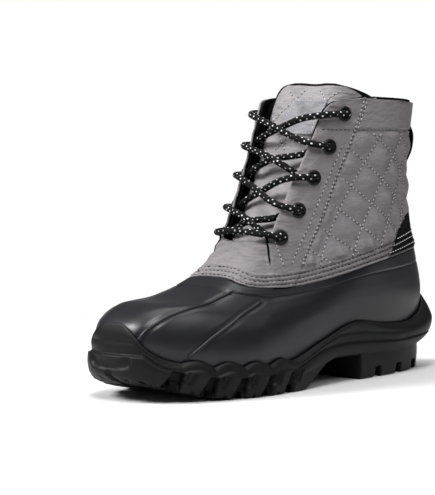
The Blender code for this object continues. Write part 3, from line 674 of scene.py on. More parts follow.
SHELL_ROWS = shell_rows()
SHELL_COLUMNS = 320


def shell_place(u, v):
    row = np.rint(v * (len(SHELL_ROWS) - 1)).astype(int)
    share = np.array([entry[0] for entry in SHELL_ROWS])[row]
    sides = np.array([entry[1] for entry in SHELL_ROWS])[row]
    angle = 2 * math.pi * u
    rim = rim_level(angle)
    level = np.where(share <= 1.0, share * (rim - RIM_TUCK), rim + (share - 1.0) * FLANGE_RISE)
    out = np.zeros_like(u)
    outside = sides == "outside"
    points = form(angle, level)
    out[outside] = shell_relief(angle[outside], level[outside], points[outside])
    out[sides == "step"] = -FLANGE_STEP
    out[sides == "flange"] = -FLANGE_STEP - FLANGE_WALL
    out[sides == "inside"] = -SHELL_WALL
    return points + form_normal(angle, level) * out[:, None]


print("shell grid:", SHELL_COLUMNS, "by", len(SHELL_ROWS) - 1)

# %% [markdown]
# The grid's first and last columns meet at the toe and are merged. Its first and last rows are the outer
# and inner edges underneath, which bridge_loops joins. Filling each edge with a face would shut the shell
# from below instead of leaving it hollow.

# %% Build the shell
shell_bm = mapped_grid(SHELL_COLUMNS, len(SHELL_ROWS) - 1, shell_place)
bmesh.ops.remove_doubles(shell_bm, verts=shell_bm.verts, dist=1e-6)
bmesh.ops.bridge_loops(shell_bm, edges=[edge for edge in shell_bm.edges if edge.is_boundary])
add_piece("shell", shell_bm, [SHELL_RUBBER], ["upper_shell"], merge=1e-6)

# %% [markdown]
# ## Raised seams on the shell
#
# Four raised seams run from the rim down to the sole's edge, two on each side, as if the rubber were sewn
# from panels. They are half-round ribs. A displacement of the shell would need a much finer grid, so each
# rib is a grid of its own: a small oval swept along the line, sunk to its middle and thinned to its ends.

# %% Build the raised seams
def close_ends(bm, merge):
    """Merge doubled points and cap the open ends."""
    bmesh.ops.remove_doubles(bm, verts=bm.verts, dist=merge)
    bmesh.ops.holes_fill(bm, edges=[edge for edge in bm.edges if edge.is_boundary], sides=0)


def swept_tube(path, normals, half_width, half_height, sides, taper):
    """Place function for a tube with an oval section along a path."""
    run = unit(np.gradient(path, axis=0))
    across = unit(np.cross(run, normals))

    def place(u, v):
        at = np.rint(v * (len(path) - 1)).astype(int)
        turn = 2 * math.pi * u
        size = taper(v)[:, None]
        sideways = across[at] * np.cos(turn)[:, None] * half_width
        upwards = normals[at] * np.sin(turn)[:, None] * half_height
        return path[at] + (sideways + upwards) * size

    tube = mapped_grid(sides, len(path) - 1, place)
    close_ends(tube, merge=1e-7)
    return tube


def join_bmesh(target, source):
    """Add one bmesh to another by way of a mesh that is then dropped."""
    carrier = bpy.data.meshes.new("carrier")
    source.to_mesh(carrier)
    source.free()
    target.from_mesh(carrier)
    bpy.data.meshes.remove(carrier)


SEAM_LIFT = 0.1
SEAM_SIDES = 16
SEAM_TIP = 0.02


def seam_taper(v):
    return lerp(SEAM_TIP, 1.0, np.minimum(smooth(0.0, 0.03, v), smooth(1.0, 0.98, v)))


seams_bm = bmesh.new()
for seam in RAISED_SEAMS:
    for side in (1, -1):
        angle, level = seam_line(seam, side, SEAM_STEPS)
        normals = form_normal(angle, level)
        path = form(angle, level) + normals * SEAM_LIFT
        join_bmesh(seams_bm, swept_tube(path, normals, SEAM_HALF, SEAM_HEIGHT, SEAM_SIDES, seam_taper))
add_piece("shell_seams", seams_bm, [SHELL_RUBBER], merge=1e-6)

# %% [markdown]
# ## Outsole
#
# The outsole is moulded rubber: a foxing edge that waves over the lugs, a bumper at the toe, a cup behind
# the heel, side bands with a groove between them, lugs with gaps, an arch and a heel block. Cutting each
# gap with a Boolean leaves hard, thin triangles. Instead the whole outside is one grid: a column is a
# profile from the inside of the tray over the lip, down the side and under the tread to the middle line,
# and gaps, slits and grooves are places where that profile is pushed in.

# %% Outsole sizes
SideRow = namedtuple(
    "SideRow",
    "name drop z_toe z_ball z_waist z_heel z_back out_toe out_ball out_waist out_heel out_back",
)
SIDE = (
    SideRow("band", 2.5, 38.0, 19.0, 33.0, 29.0, 37.0, 5.5, 4.6, 4.6, 7.0, 15.0),
    SideRow("groove", 5.0, 31.0, 15.5, 28.0, 24.5, 27.5, 6.0, 4.8, 4.4, 6.8, 13.3),
    SideRow("shelf", 6.5, 29.0, 14.0, 25.0, 22.5, 25.5, 8.5, 6.0, 4.2, 6.5, 12.5),
    SideRow("under", 8.5, 17.0, 7.0, 17.0, 17.0, 17.0, 8.0, 6.0, 2.5, 3.0, 2.5),
    SideRow("tread", 12.0, 0.0, 0.0, 0.0, 0.0, 0.0, 4.0, 4.5, 1.5, 2.0, 1.5),
)
SIDE_KNOTS = (0.17, 0.42, 0.70, 0.96)
BACK_POWER = 8
TRAY_GAP = 0.4
LIP_THICK = 2.4
FOXING_S = (40.0, 76.0, 112.0, 146.0, 180.0, 240.0, 262.0)
FOXING_Z = (33.0, 36.0, 39.5, 30.0, 19.8, 20.5, 23.5)
WAVE_START = 179.0
WAVE_PITCH = 21.0
WAVE_COUNT = 4
WAVE_HEIGHT = 3.2
BUMPER_RISE = 24.0
BUMPER_HALF = 24.0
BUMPER_MIDDLE = -8.0
BUMPER_START = (240.0, 268.0)
HEEL_CUP_RISE = 19.0
SPRING_START = 225.0
SPRING_END = 290.0
SPRING_RISE = 15.0
ARCH_S = (99.6, 100.4, 128.0, 140.0, 153.0, 164.0)
ARCH_Z = (0.0, 16.0, 16.8, 14.0, 7.0, 0.0)
LUG_GAPS = 5
RECESS_LEAN = 5.0
RECESS_TOP = 13.0
RECESS_HALF_TOP = 3.0
RECESS_HALF_FOOT = 4.8
GROOVE_HALF = 2.8
GROOVE_DEEP = 5.0
HEEL_NOTCH_S = (80.0, 54.0, 30.0)
HEEL_NOTCH_HALF = 3.6
HEEL_NOTCH_DEEP = 6.5
SPINE_S = (42.0, 250.0)
SPINE_HALF = 0.5
CHANNEL_HALF = 2.8
CHANNEL_DEEP = 3.0
TREAD_SLIT_DEEP = 1.6
SOLE_COLUMNS = 760
print("outsole:", len(SIDE), "rows on its side,", LUG_GAPS, "lug gaps")

# %% [markdown]
# ## The outsole's heights
#
# Three heights shape the outsole: the foxing's wavy upper edge, the ground line that springs up at the
# toe, and the underside with its grooves. Each could be drawn as a curve by hand. Here each is a function
# of the place on the foot, so the side and the underside always meet.

# %% The outsole's heights
def feather_outward(angle):
    normal = form_normal(angle, 0.0 * angle)
    normal[..., 2] = 0.0
    return unit(normal)


def foxing_height(angle):
    place = form(angle, 0.6 + 0.0 * angle)
    s, y = place[..., 0], place[..., 1]
    z = curve_through(FOXING_S, FOXING_Z, s)
    along = (s - WAVE_START) / WAVE_PITCH
    z = z + np.where((along > 0) & (along < WAVE_COUNT), WAVE_HEIGHT * np.abs(np.sin(math.pi * along)), 0.0)
    bulge = np.exp(-np.abs((y - BUMPER_MIDDLE) / BUMPER_HALF) ** 3)
    z = z + BUMPER_RISE * bulge * smooth(BUMPER_START[0], BUMPER_START[1], s)
    return z + HEEL_CUP_RISE * np.maximum(-np.cos(angle), 0.0) ** (BACK_POWER + 2)


def ground_height(s):
    share = np.maximum(s - SPRING_START, 0.0) / (SPRING_END - SPRING_START)
    return SPRING_RISE * share**1.7


def tread_height(s, y):
    """The underside: ground, arch, cross grooves, heel notches, a middle channel and fine slits."""
    z = ground_height(s) + np.interp(s, ARCH_S, ARCH_Z)
    deep = np.zeros_like(s)
    middle = np.abs(y - curve_through(AXIS_S, AXIS_Y, s))
    for index in range(LUG_GAPS):
        gap = np.abs(s - (WAVE_START + WAVE_PITCH * index + RECESS_LEAN))
        deep = np.maximum(deep, GROOVE_DEEP * smooth(GROOVE_HALF + 0.5, GROOVE_HALF - 0.5, gap))
        slit = np.abs(s - (WAVE_START + WAVE_PITCH * (index + 0.5) + RECESS_LEAN))
        deep = np.maximum(deep, TREAD_SLIT_DEEP * smooth(1.2, 0.6, slit) * smooth(8.0, 12.0, middle))
    for notch in HEEL_NOTCH_S:
        gap = np.abs(s - notch)
        deep = np.maximum(deep, HEEL_NOTCH_DEEP * smooth(HEEL_NOTCH_HALF + 0.5, HEEL_NOTCH_HALF - 0.5, gap))
    in_arch = smooth(96.0, 100.0, s) * (1 - smooth(164.0, 170.0, s))
    channel = CHANNEL_DEEP * smooth(CHANNEL_HALF + 0.6, CHANNEL_HALF - 0.6, middle) * (1 - in_arch)
    return z + np.maximum(deep, channel)


def side_points(row, angle):
    feather = form(angle, 0.0 * angle)
    share = (feather[..., 0] - LAST[0].heel) / (LAST[0].toe - LAST[0].heel)
    back = np.maximum(-np.cos(angle), 0.0) ** BACK_POWER
    out = curve_through(SIDE_KNOTS, (row.out_heel, row.out_waist, row.out_ball, row.out_toe), share)
    z = curve_through(SIDE_KNOTS, (row.z_heel, row.z_waist, row.z_ball, row.z_toe), share)
    points = feather + feather_outward(angle) * lerp(out, row.out_back, back)[..., None]
    points[..., 2] = np.minimum(lerp(z, row.z_back, back), foxing_height(angle) - row.drop)
    if row.name == "tread":
        points[..., 2] = ground_height(points[..., 0])
    return points


print("foxing at the toe:", round(float(foxing_height(np.zeros(1))[0]), 1), "mm high")

# %% [markdown]
# ## The outsole's profile
#
# Each column of the grid runs through named points, from the middle of the tray over the lip, down the
# side and under the tread. The stretches between them bulge a little, as rubber does when it leaves a
# mould, and lug gaps and slits are pushed in along the column. Cut with a Boolean, the gaps would be
# sharper, but the thin triangles beside them would shade badly.

# %% The outsole's profile
Stretch = namedtuple("Stretch", "start end steps bulge")
PROFILE = (
    Stretch("floor_middle", "floor_edge", 3, 0.0),
    Stretch("floor_edge", "tray_middle", 2, 0.0),
    Stretch("tray_middle", "lip_inside", 2, 0.0),
    Stretch("lip_inside", "lip_outside", 6, 0.0),
    Stretch("lip_outside", "band", 10, 0.7),
    Stretch("band", "groove", 6, 0.5),
    Stretch("groove", "shelf", 6, -0.9),
    Stretch("shelf", "under", 10, 0.7),
    Stretch("under", "tread", 18, 0.4),
    Stretch("tread", "spine", 16, 0.0),
)


def path_length(path):
    """Distance along a path, from 0 at its first point."""
    return np.concatenate([[0.0], np.cumsum(np.linalg.norm(np.diff(path, axis=0), axis=1))])


dense = np.linspace(0.0, 2 * math.pi, 4001)
edge_length = path_length(side_points(SIDE[1], dense))


def even_angle(u):
    return np.interp(u * edge_length[-1], edge_length, dense)


def spine_points(points):
    s = np.clip(points[..., 0], SPINE_S[0], SPINE_S[1])
    middle = curve_through(AXIS_S, AXIS_Y, s)
    beside = SPINE_HALF * np.clip((points[..., 1] - middle) / 10.0, -1.0, 1.0)
    return np.stack([s, middle + beside, points[..., 2]], axis=-1)


def profile_keys(angle):
    """The named points of the profile at each angle."""
    low = np.zeros_like(angle)
    lip = halve(lambda level: form(angle, level)[..., 2] < foxing_height(angle), low, low + 3.2)
    keys = {row.name: side_points(row, angle) for row in SIDE}
    feather = form(angle, 0.0 * angle)
    keys["floor_edge"] = feather + feather_outward(angle) * TRAY_GAP - np.array([0.0, 0.0, 0.3])
    keys["floor_middle"] = spine_points(keys["floor_edge"])
    keys["tray_middle"] = on_form(angle, 0.5 * lip, TRAY_GAP + 0.0 * angle)
    keys["lip_inside"] = on_form(angle, lip, TRAY_GAP + 0.0 * angle)
    keys["lip_outside"] = on_form(angle, lip, TRAY_GAP + LIP_THICK + 0.0 * angle)
    keys["spine"] = spine_points(keys["tread"])
    return keys


SLIT_SHIFTS = (-4.6, -8.0)
SLIT_LEAN = 0.55
SLIT_DEEP = 1.5
TOE_SLOT_HALF = 15.0
TOE_SLOT_Z = 23.5
TOE_SLOT_BOW = 1.6
TOE_SLOT_DEEP = 2.2
TOE_NOTCH_GAP = 11.0
TOE_NOTCH_DEEP = 1.6


def nearest_line(value, first, gap):
    """Distance from a value to the nearest of evenly spaced lines."""
    return np.abs(np.mod(value - first + 0.5 * gap, gap) - 0.5 * gap)


def side_pockets(points, feather, outward, angle):
    """Push the side in at the lug gaps, the slits over them and the toe's slot."""
    s = feather[..., 0]
    out = ((points - feather) * outward).sum(axis=-1)
    z = points[..., 2] - ground_height(s)
    push = np.zeros_like(s)
    for index in range(LUG_GAPS):
        top = WAVE_START + WAVE_PITCH * index
        middle = top + RECESS_LEAN * (1 - z / RECESS_TOP)
        half = lerp(RECESS_HALF_FOOT, RECESS_HALF_TOP, np.clip(z / RECESS_TOP, 0, 1))
        under_top = smooth(RECESS_TOP + 0.8, RECESS_TOP - 0.8, z)
        inside = smooth(half + 0.7, half - 0.7, np.abs(s - middle)) * under_top
        push = np.maximum(push, inside * np.maximum(out - 0.6, 0.0))
        for shift in SLIT_SHIFTS:
            slit = np.abs(s - (top + shift - SLIT_LEAN * (z - 12.0)))
            height = smooth(6.5, 7.5, z) * smooth(15.0, 14.0, z)
            push = np.maximum(push, SLIT_DEEP * smooth(1.3, 0.7, slit) * height)
    across = points[..., 1] - BUMPER_MIDDLE
    along = np.maximum(np.abs(across) - TOE_SLOT_HALF, 0.0)
    bow = TOE_SLOT_BOW * (across / TOE_SLOT_HALF) ** 2
    slot = np.hypot(along, points[..., 2] - TOE_SLOT_Z - bow)
    front = smooth(0.75, 0.9, np.cos(angle))
    push = np.maximum(push, TOE_SLOT_DEEP * smooth(3.8, 2.6, slot) * front)
    notch = nearest_line(across, 0.0, TOE_NOTCH_GAP)
    toe_foot = smooth(4.5, 3.5, z) * front * smooth(26.0, 24.0, np.abs(across))
    push = np.maximum(push, TOE_NOTCH_DEEP * smooth(2.2, 1.4, notch) * toe_foot)
    return points - outward * push[..., None]


PROFILE_ROWS = [(stretch, step) for stretch in PROFILE for step in range(stretch.steps)]
PROFILE_ROWS.append((PROFILE[-1], PROFILE[-1].steps))
TREAD_ROW = len(PROFILE_ROWS) - 1 - PROFILE[-1].steps
FOREFOOT_BULGE = 0.2
LIP_ROUND = 0.7
TREAD_ROUND = 0.8
ROW_APART = 0.04


def sole_columns(angle):
    """All rows of the grid for the given angles."""
    keys = profile_keys(angle)
    feather = form(angle, 0.0 * angle)
    outward = feather_outward(angle)
    forefoot = smooth(166.0, 182.0, feather[..., 0]) * (1 - smooth(258.0, 272.0, feather[..., 0]))
    rows = []
    for stretch, step in PROFILE_ROWS:
        share = step / stretch.steps
        points = lerp(keys[stretch.start], keys[stretch.end], share)
        bulge = stretch.bulge * math.sin(math.pi * share) * lerp(1.0, FOREFOOT_BULGE, forefoot)
        points = points + outward * bulge[..., None]
        if stretch.start == "lip_inside":
            points[..., 2] += LIP_ROUND * math.sin(math.pi * share)
        if stretch.end == "spine":
            points[..., 2] = tread_height(points[..., 0], points[..., 1])
            points[..., 2] += TREAD_ROUND * (1 - smooth(0.0, 0.06, share))
        elif stretch.end in ("groove", "shelf", "under", "tread"):
            points = side_pockets(points, feather, outward, angle)
            floor_line = tread_height(points[..., 0], points[..., 1])
            rows_left = TREAD_ROW - len(rows)
            points[..., 2] = np.maximum(points[..., 2], floor_line + TREAD_ROUND + ROW_APART * rows_left)
        rows.append(points)
    return np.stack(rows)


print("outsole profile:", len(PROFILE_ROWS), "rows")

# %% [markdown]
# The grid's two open edges lie along the middle line, one on the tray's floor and one under the tread,
# as narrow slots half a millimetre either side of it. Closed to one line, each slot would have edges that
# too many faces share, so it is filled with a strip of its own.

# %% Build the outsole
def sole_place(u, v):
    columns, where = np.unique(np.round(u, 9), return_inverse=True)
    rows = sole_columns(even_angle(columns))
    return rows[np.rint(v * (len(PROFILE_ROWS) - 1)).astype(int), where]


sole_bm = mapped_grid(SOLE_COLUMNS, len(PROFILE_ROWS) - 1, sole_place)
bmesh.ops.remove_doubles(sole_bm, verts=sole_bm.verts, dist=1e-6)
spine_edges = [edge for edge in sole_bm.edges if edge.is_boundary]
spine_fill = bmesh.ops.holes_fill(sole_bm, edges=spine_edges, sides=0)
bmesh.ops.triangulate(sole_bm, faces=spine_fill["faces"])
print("spine strips:", len(spine_fill["faces"]))
add_piece("sole", sole_bm, [SOLE_RUBBER], ["outsole"], merge=1e-6)

# %% [markdown]
# ## Shaft
#
# The shaft is quilted nylon: a face cloth sewn to wadding along crossing lines, so each diamond swells
# and each line sinks. A smooth stay carries the eyelets, a band runs round the collar, and a hem with
# rows of stitches laps over the rubber. A cloth simulation could swell the diamonds, but the lines have to
# lie where the photo shows them, so the swelling is worked out from the distance to the nearest line. The
# grid runs from one edge of the throat round the back to the other, and meets itself below the throat.

# %% Shaft sizes
SHAFT_OUT = 0.5
STAY_RAISE = 1.4
CUFF_RAISE = 1.2
STAY_LEVELS = (5.2, 5.6, 6.3, 7.2, 8.1, 9.1)
STAY_DEGREES = (54.0, 55.0, 57.0, 58.0, 62.5, 67.5)
CUFF_LEVEL = 8.3
HEM_ROWS = (2.8, 7.0, 10.6)
HEM_TOP = 12.5
HEM_DENSITY = 1.4
CLOTH_LOWEST = -0.1
PATCH_Z = (84.0, 92.0, 100.0, 107.0, 114.0, 121.0, 130.0, 150.0, 172.0)
PATCH_REACH = (78.0, 64.0, 54.0, 34.0, 20.0, 12.0, 9.5, 9.0, 9.0)
QUILT_FIRST = 193.2
QUILT_FIRST_GAP = 24.6
QUILT_FIRST_SLOPE = 0.68
QUILT_SECOND = 77.6
QUILT_SECOND_GAP = 22.7
QUILT_SECOND_SLOPE = 0.707
QUILT_SWELL = 2.6
QUILT_VALLEY = 5.2
THROAT_Z = (94.5, 97.5, 108.0, 128.0, 150.0, 176.0, 181.0, 185.0, 187.5, 200.0)
THROAT_HALF = (15.0, 19.5, 20.2, 21.5, 24.2, 27.6, 28.8, 31.5, 37.0, 37.5)
FRONT_SEAM_Z = (66.0, 80.0, 96.0)
FRONT_SEAM_HALF = (31.0, 26.0, 19.6)
SHAFT_COLUMNS = 330
SHAFT_ROWS = 124
SHAFT_LEVELS = (5.04, 9.0)
RIM_FOLLOW = (5.9, 5.04)
print("quilting lines:", QUILT_FIRST_GAP, "and", QUILT_SECOND_GAP, "mm apart")

# %% [markdown]
# ## The shaft's relief
#
# Sewn cloth is never smooth: it gathers at the hem, ripples over it, puckers along the quilting and folds
# on the stay. Sculpting these creases would be quick, but it could not be measured or changed later. Here
# each crease is a wave that a bell keeps near its seam. The numbers inside the sines are radians per
# millimetre, uneven so that no crease looks like its neighbour.

# %% The shaft's relief
HEM_LIP = 0.6
HEM_SINK = 0.95
HEM_SINK_WAVE = 0.3
HEM_RAISE = 0.45
GATHER_RAISE = 0.3
STAY_SINK = 0.35
CUFF_SINK = 0.25
STAY_RIPPLE = 0.3
HEM_RIPPLE = 0.7
QUILT_PUCKER = 0.22
STAY_CRUMPLE = 0.4
STAY_FOLD = 0.5
FRONT_WRINKLE = 0.8


def throat_half(z):
    return curve_through(THROAT_Z, THROAT_HALF, z)


def quilt_lines(arc, z):
    """Distances in millimetres to the nearest line of each family."""
    first = nearest_line(arc + QUILT_FIRST_SLOPE * z, QUILT_FIRST, QUILT_FIRST_GAP)
    second = nearest_line(z - QUILT_SECOND_SLOPE * arc, QUILT_SECOND, QUILT_SECOND_GAP)
    return first / math.hypot(1, QUILT_FIRST_SLOPE), second / math.hypot(1, QUILT_SECOND_SLOPE)


def patch_reach(z):
    return curve_through(PATCH_Z, PATCH_REACH, z)


def stay_arc(level):
    return arc_from_back(np.radians(curve_through(STAY_LEVELS, STAY_DEGREES, level)), level)


def hem_relief(arc, hem, bare):
    """The hem's slight lift, its sunken stitch rows and the gathers between them."""
    out = HEM_RAISE * bare * smooth(HEM_TOP + 1.5, HEM_TOP - 1.0, hem)
    for row in HEM_ROWS:
        out = out - (HEM_SINK + HEM_SINK_WAVE * np.sin(1.6 * arc + row)) * bell(hem - row, 1.0)
    gather = np.sin(1.35 * arc + 2.0 * np.sin(0.17 * arc))
    on_hem = smooth(0.5, 2.5, hem) * smooth(HEM_TOP + 1.0, HEM_TOP - 2.0, hem)
    return out + GATHER_RAISE * bare * gather * on_hem


def shaft_relief(angle, level, points):
    """How far the cloth stands out from the last, with quilting, panels, hem and puckers."""
    y, z = np.abs(points[..., 1]), points[..., 2]
    arc = arc_from_back(angle, level)
    hem = above_rim(angle, level)
    behind = stay_arc(level) - arc
    to_first, to_second = quilt_lines(arc, z)
    swell = (1 - bell(to_first, QUILT_VALLEY)) * (1 - bell(to_second, QUILT_VALLEY))
    bare = smooth(-1.0, 2.0, arc - patch_reach(z))
    between = smooth(HEM_TOP, HEM_TOP + 4.0, hem) * smooth(0.0, 0.12, CUFF_LEVEL - level)
    quilted = smooth(1.0, 4.0, behind) * between * bare
    front = smooth(0.8, -0.8, y - curve_through(FRONT_SEAM_Z, FRONT_SEAM_HALF, z)) * smooth(97.0, 95.0, z)
    stay = smooth(0.7, -0.7, behind) * (1 - front)
    out = SHAFT_OUT + STAY_RAISE * stay + QUILT_SWELL * swell * quilted
    out = out + CUFF_RAISE * smooth(-0.02, 0.04, level - CUFF_LEVEL) * (1 - stay)
    out = out + HEM_LIP * bell(hem - 0.8, 0.9) * (1 - front) + hem_relief(arc, hem, bare)
    out = out - STAY_SINK * bell(behind, 1.3) - CUFF_SINK * bell(level - CUFF_LEVEL, 0.035)
    beside_stay = np.sin(1.4 * z + 0.3 * arc) * bell(behind, 3.5) * smooth(HEM_TOP, HEM_TOP + 3.0, hem)
    ripple = np.sin(arc * 0.83 + 1.7 * np.sin(arc * 0.11)) + 0.6 * np.sin(arc * 0.47 + 2.0)
    over_hem = bare * ripple * bell(hem - HEM_TOP - 4.0, 6.0) * smooth(1.0, 5.0, behind)
    pucker = np.sin(2.1 * (arc + z)) * bell(to_first, 4.0) + np.sin(2.3 * (arc - z)) * bell(to_second, 4.0)
    out = out + STAY_RIPPLE * beside_stay + HEM_RIPPLE * over_hem + QUILT_PUCKER * pucker * quilted
    crumple = np.sin(0.35 * z + 0.21 * arc) * np.sin(0.19 * z - 0.33 * arc + 1.0)
    out = out + STAY_CRUMPLE * crumple * stay * smooth(95.0, 104.0, z)
    soft_fold = bell(z - 112.0 + 0.25 * (arc - 150.0), 4.0) * smooth(135.0, 150.0, arc) * stay
    wrinkle = front * np.sin(0.9 * z + 0.4 * y) * bell(z - 89.0, 6.0)
    out = out + STAY_FOLD * soft_fold + FRONT_WRINKLE * wrinkle
    return np.maximum(out, CLOTH_LOWEST)


# %% [markdown]
# ## The throat's edges
#
# The shaft opens down the front, and its two flaps meet below the lowest eyelets. The grid could be cut
# open there, but a cut leaves a ragged edge. So the edge's angle is found at each level, and the columns
# near it move with it, while those further back stay even.

# %% The throat's edges
EDGE_LEVELS = np.linspace(5.0, 9.06, 260)


def throat_angles(levels):
    """The angle of the outer flap's edge at each level, 0 below the throat."""
    def inside(angle):
        points = form(angle, levels)
        open_here = points[..., 2] > THROAT_Z[0]
        return (points[..., 1] < throat_half(points[..., 2])) & open_here

    return halve(inside, np.zeros_like(levels), np.full_like(levels, 0.5 * math.pi))


edge_angles = throat_angles(EDGE_LEVELS)
edge_angles[form(np.zeros_like(EDGE_LEVELS), EDGE_LEVELS)[:, 2] <= THROAT_Z[0]] = 0.0
EDGE_SHARES = arc_from_back(edge_angles, EDGE_LEVELS) / arc_from_back(0.0 * edge_angles, EDGE_LEVELS)
ladder = np.linspace(SHAFT_LEVELS[0], SHAFT_LEVELS[1], 400)
ladder_length = path_length(form(np.full_like(ladder, 1.0), ladder))
ladder_rows = ladder_length + HEM_DENSITY * np.minimum(ladder_length, HEM_TOP + 3.0)


def shaft_level(v):
    return np.interp(v * ladder_rows[-1], ladder_rows, ladder)


def rim_shift(angle, level):
    """How far a low row moves, in levels, to follow the rim's dip."""
    return (rim_level(angle) - RIM) * smooth(RIM_FOLLOW[0], RIM_FOLLOW[1], level)


def shaft_angle_level(u, v):
    level = shaft_level(v)
    gap = 1 - np.interp(level, EDGE_LEVELS, EDGE_SHARES)
    share = 1 - 2 * u
    near_edge = smooth(1 - np.maximum(0.2, 3.0 * gap), 1.0, np.abs(share))
    angle = angle_at_share(share - np.sign(share) * gap * near_edge, level)
    return angle, level + rim_shift(angle, level)


def shaft_place(u, v):
    angle, level = shaft_angle_level(u, v)
    points = form(angle, level)
    return points + form_normal(angle, level) * shaft_relief(angle, level, points)[:, None]


def shaft_cloth(u, v):
    angle, level = shaft_angle_level(u, v)
    arc = arc_from_back(angle, level) * np.sign(0.5 - u)
    return np.stack([arc, form(angle, level)[:, 2]], axis=1)


print("flap edge at the collar:", round(float(np.degrees(edge_angles[-1]))), "degrees from the toe")

# %% [markdown]
# The hem and the front below the throat are a napped cloth, the rest is smooth nylon. Two meshes would
# leave a gap between them, so the shaft is one mesh with two materials, and each face takes one of them by
# where it lies on the flat cloth. A modifier gives the cloth its thickness.

# %% Build the shaft
SHAFT_WALL = 1.2
NAP_SHARE = 0.9
FRONT_ARC = 150.0
FRONT_TOP = 94.0
shaft_bm = mapped_grid(SHAFT_COLUMNS, SHAFT_ROWS, shaft_place, shaft_cloth)
shaft = add_piece("shaft", shaft_bm, [SHAFT_CLOTH, NAP_CLOTH], ["upper_shaft"], merge=2e-5)
rim_angles = np.linspace(math.pi, 0.0, 181)
rim_arcs = arc_from_back(rim_angles, rim_level(rim_angles))
rim_heights = form(rim_angles, rim_level(rim_angles))[:, 2]
shaft_uv = shaft.data.uv_layers["cloth"].data
for polygon in shaft.data.polygons:
    arc, z = np.mean([shaft_uv[loop].uv for loop in polygon.loop_indices], axis=0) / MM
    on_hem = z < np.interp(abs(arc), rim_arcs, rim_heights) + NAP_SHARE * HEM_TOP
    on_front = abs(arc) > FRONT_ARC and z < FRONT_TOP
    polygon.material_index = 1 if on_hem or on_front else 0
thicken(shaft, SHAFT_WALL, -1.0)

# %% [markdown]
# ## Lining
#
# Inside the shaft is a black fleece lining. It shows as a dark wall in the collar, and as a thin dark line
# where it rolls over the collar's edge and round the flaps' corners. It is the same grid as the shaft, a
# little further in and a little larger at its edges.

# %% Build the lining
LINING_OUT = -0.75
LINING_EDGE = 1.0
LINING_LEVELS = (5.1, 9.06)
LINING_WALL = 0.8
LINING_NAP = 0.12


def lining_place(u, v):
    level = lerp(LINING_LEVELS[0], LINING_LEVELS[1], v)
    share = np.interp(level, EDGE_LEVELS, EDGE_SHARES)
    whole = arc_from_back(0.0 * level, level)
    share = np.minimum(share + LINING_EDGE * smooth(7.6, 8.4, level) / whole, 1.0)
    angle = angle_at_share(lerp(share, -share, u), level)
    shifted = level + rim_shift(angle, level)
    arc = arc_from_back(angle, level)
    nap = LINING_NAP * np.sin(1.9 * arc + 3.0 * level) * np.sin(9.0 * level + 0.3 * arc)
    return on_form(angle, shifted, LINING_OUT + nap)


def flat_cloth(width, height):
    """A plain UV map for a grid of the given size in millimetres."""
    return lambda u, v: np.stack([width * u, height * v], axis=1)


lining_bm = mapped_grid(220, 70, lining_place, flat_cloth(330, 110))
lining = add_piece("lining", lining_bm, [BLACK_CLOTH_AND_FOLD_SHADE], merge=2e-5)
thicken(lining, LINING_WALL, -1.0)

# %% [markdown]
# ## Tongue
#
# The tongue is a padded strip behind the throat: pale nylon in front, black lining behind, arched at its
# top. A thickness modifier would make it as thick at its edges as in the middle. So each row of its grid
# is a closed loop, front then back, thick in the middle and thin at the edges.

# %% Tongue sizes
TongueRow = namedtuple("TongueRow", "level half depth_middle depth_edge thick_middle thick_edge")
TONGUE = (
    TongueRow(5.64, 18.0, 2.2, 2.4, 2.4, 1.8),
    TongueRow(5.78, 20.0, 4.4, 4.6, 3.0, 1.8),
    TongueRow(5.92, 22.0, 6.8, 7.4, 3.6, 1.8),
    TongueRow(6.06, 23.5, 8.0, 9.0, 4.2, 1.8),
    TongueRow(6.40, 25.5, 8.4, 9.6, 4.5, 1.8),
    TongueRow(7.00, 28.0, 8.8, 10.0, 4.5, 1.8),
    TongueRow(7.60, 30.0, 10.0, 10.5, 4.5, 1.8),
    TongueRow(8.20, 31.5, 11.5, 11.0, 4.5, 1.8),
    TongueRow(8.80, 31.2, 13.0, 11.5, 4.5, 2.0),
    TongueRow(9.15, 29.5, 14.0, 12.0, 4.5, 2.2),
    TongueRow(9.34, 25.0, 14.6, 12.8, 4.2, 2.4),
    TongueRow(9.42, 17.0, 15.0, 14.0, 3.4, 2.6),
)
TONGUE_LEAN = 7.0
TONGUE_LEAN_LEVELS = (7.8, 9.3)
TONGUE_QUILT_GAP = 27.0
TONGUE_QUILT_SLOPE = 0.95
TONGUE_RISING = 12.0
TONGUE_FALLING = 3.0
TONGUE_SWELL = 1.2
TONGUE_VALLEY = 4.5
TONGUE_FLAT = (120, 118)
TONGUE_COLUMNS = 128
TONGUE_ROWS = 130


def tongue_value(name, level):
    return curve_through([row.level for row in TONGUE], [getattr(row, name) for row in TONGUE], level)


def tongue_lean(level):
    return TONGUE_LEAN * smooth(TONGUE_LEAN_LEVELS[0], TONGUE_LEAN_LEVELS[1], level)


def tongue_quilt(y, level):
    """Distance in millimetres to the nearest quilting line of the tongue."""
    z = form(0.0 * level, level)[..., 2]
    rising = nearest_line(y + TONGUE_QUILT_SLOPE * z, TONGUE_RISING, TONGUE_QUILT_GAP)
    falling = nearest_line(y - TONGUE_QUILT_SLOPE * z, TONGUE_FALLING, TONGUE_QUILT_GAP)
    return rising / math.hypot(1, TONGUE_QUILT_SLOPE), falling / math.hypot(1, TONGUE_QUILT_SLOPE)


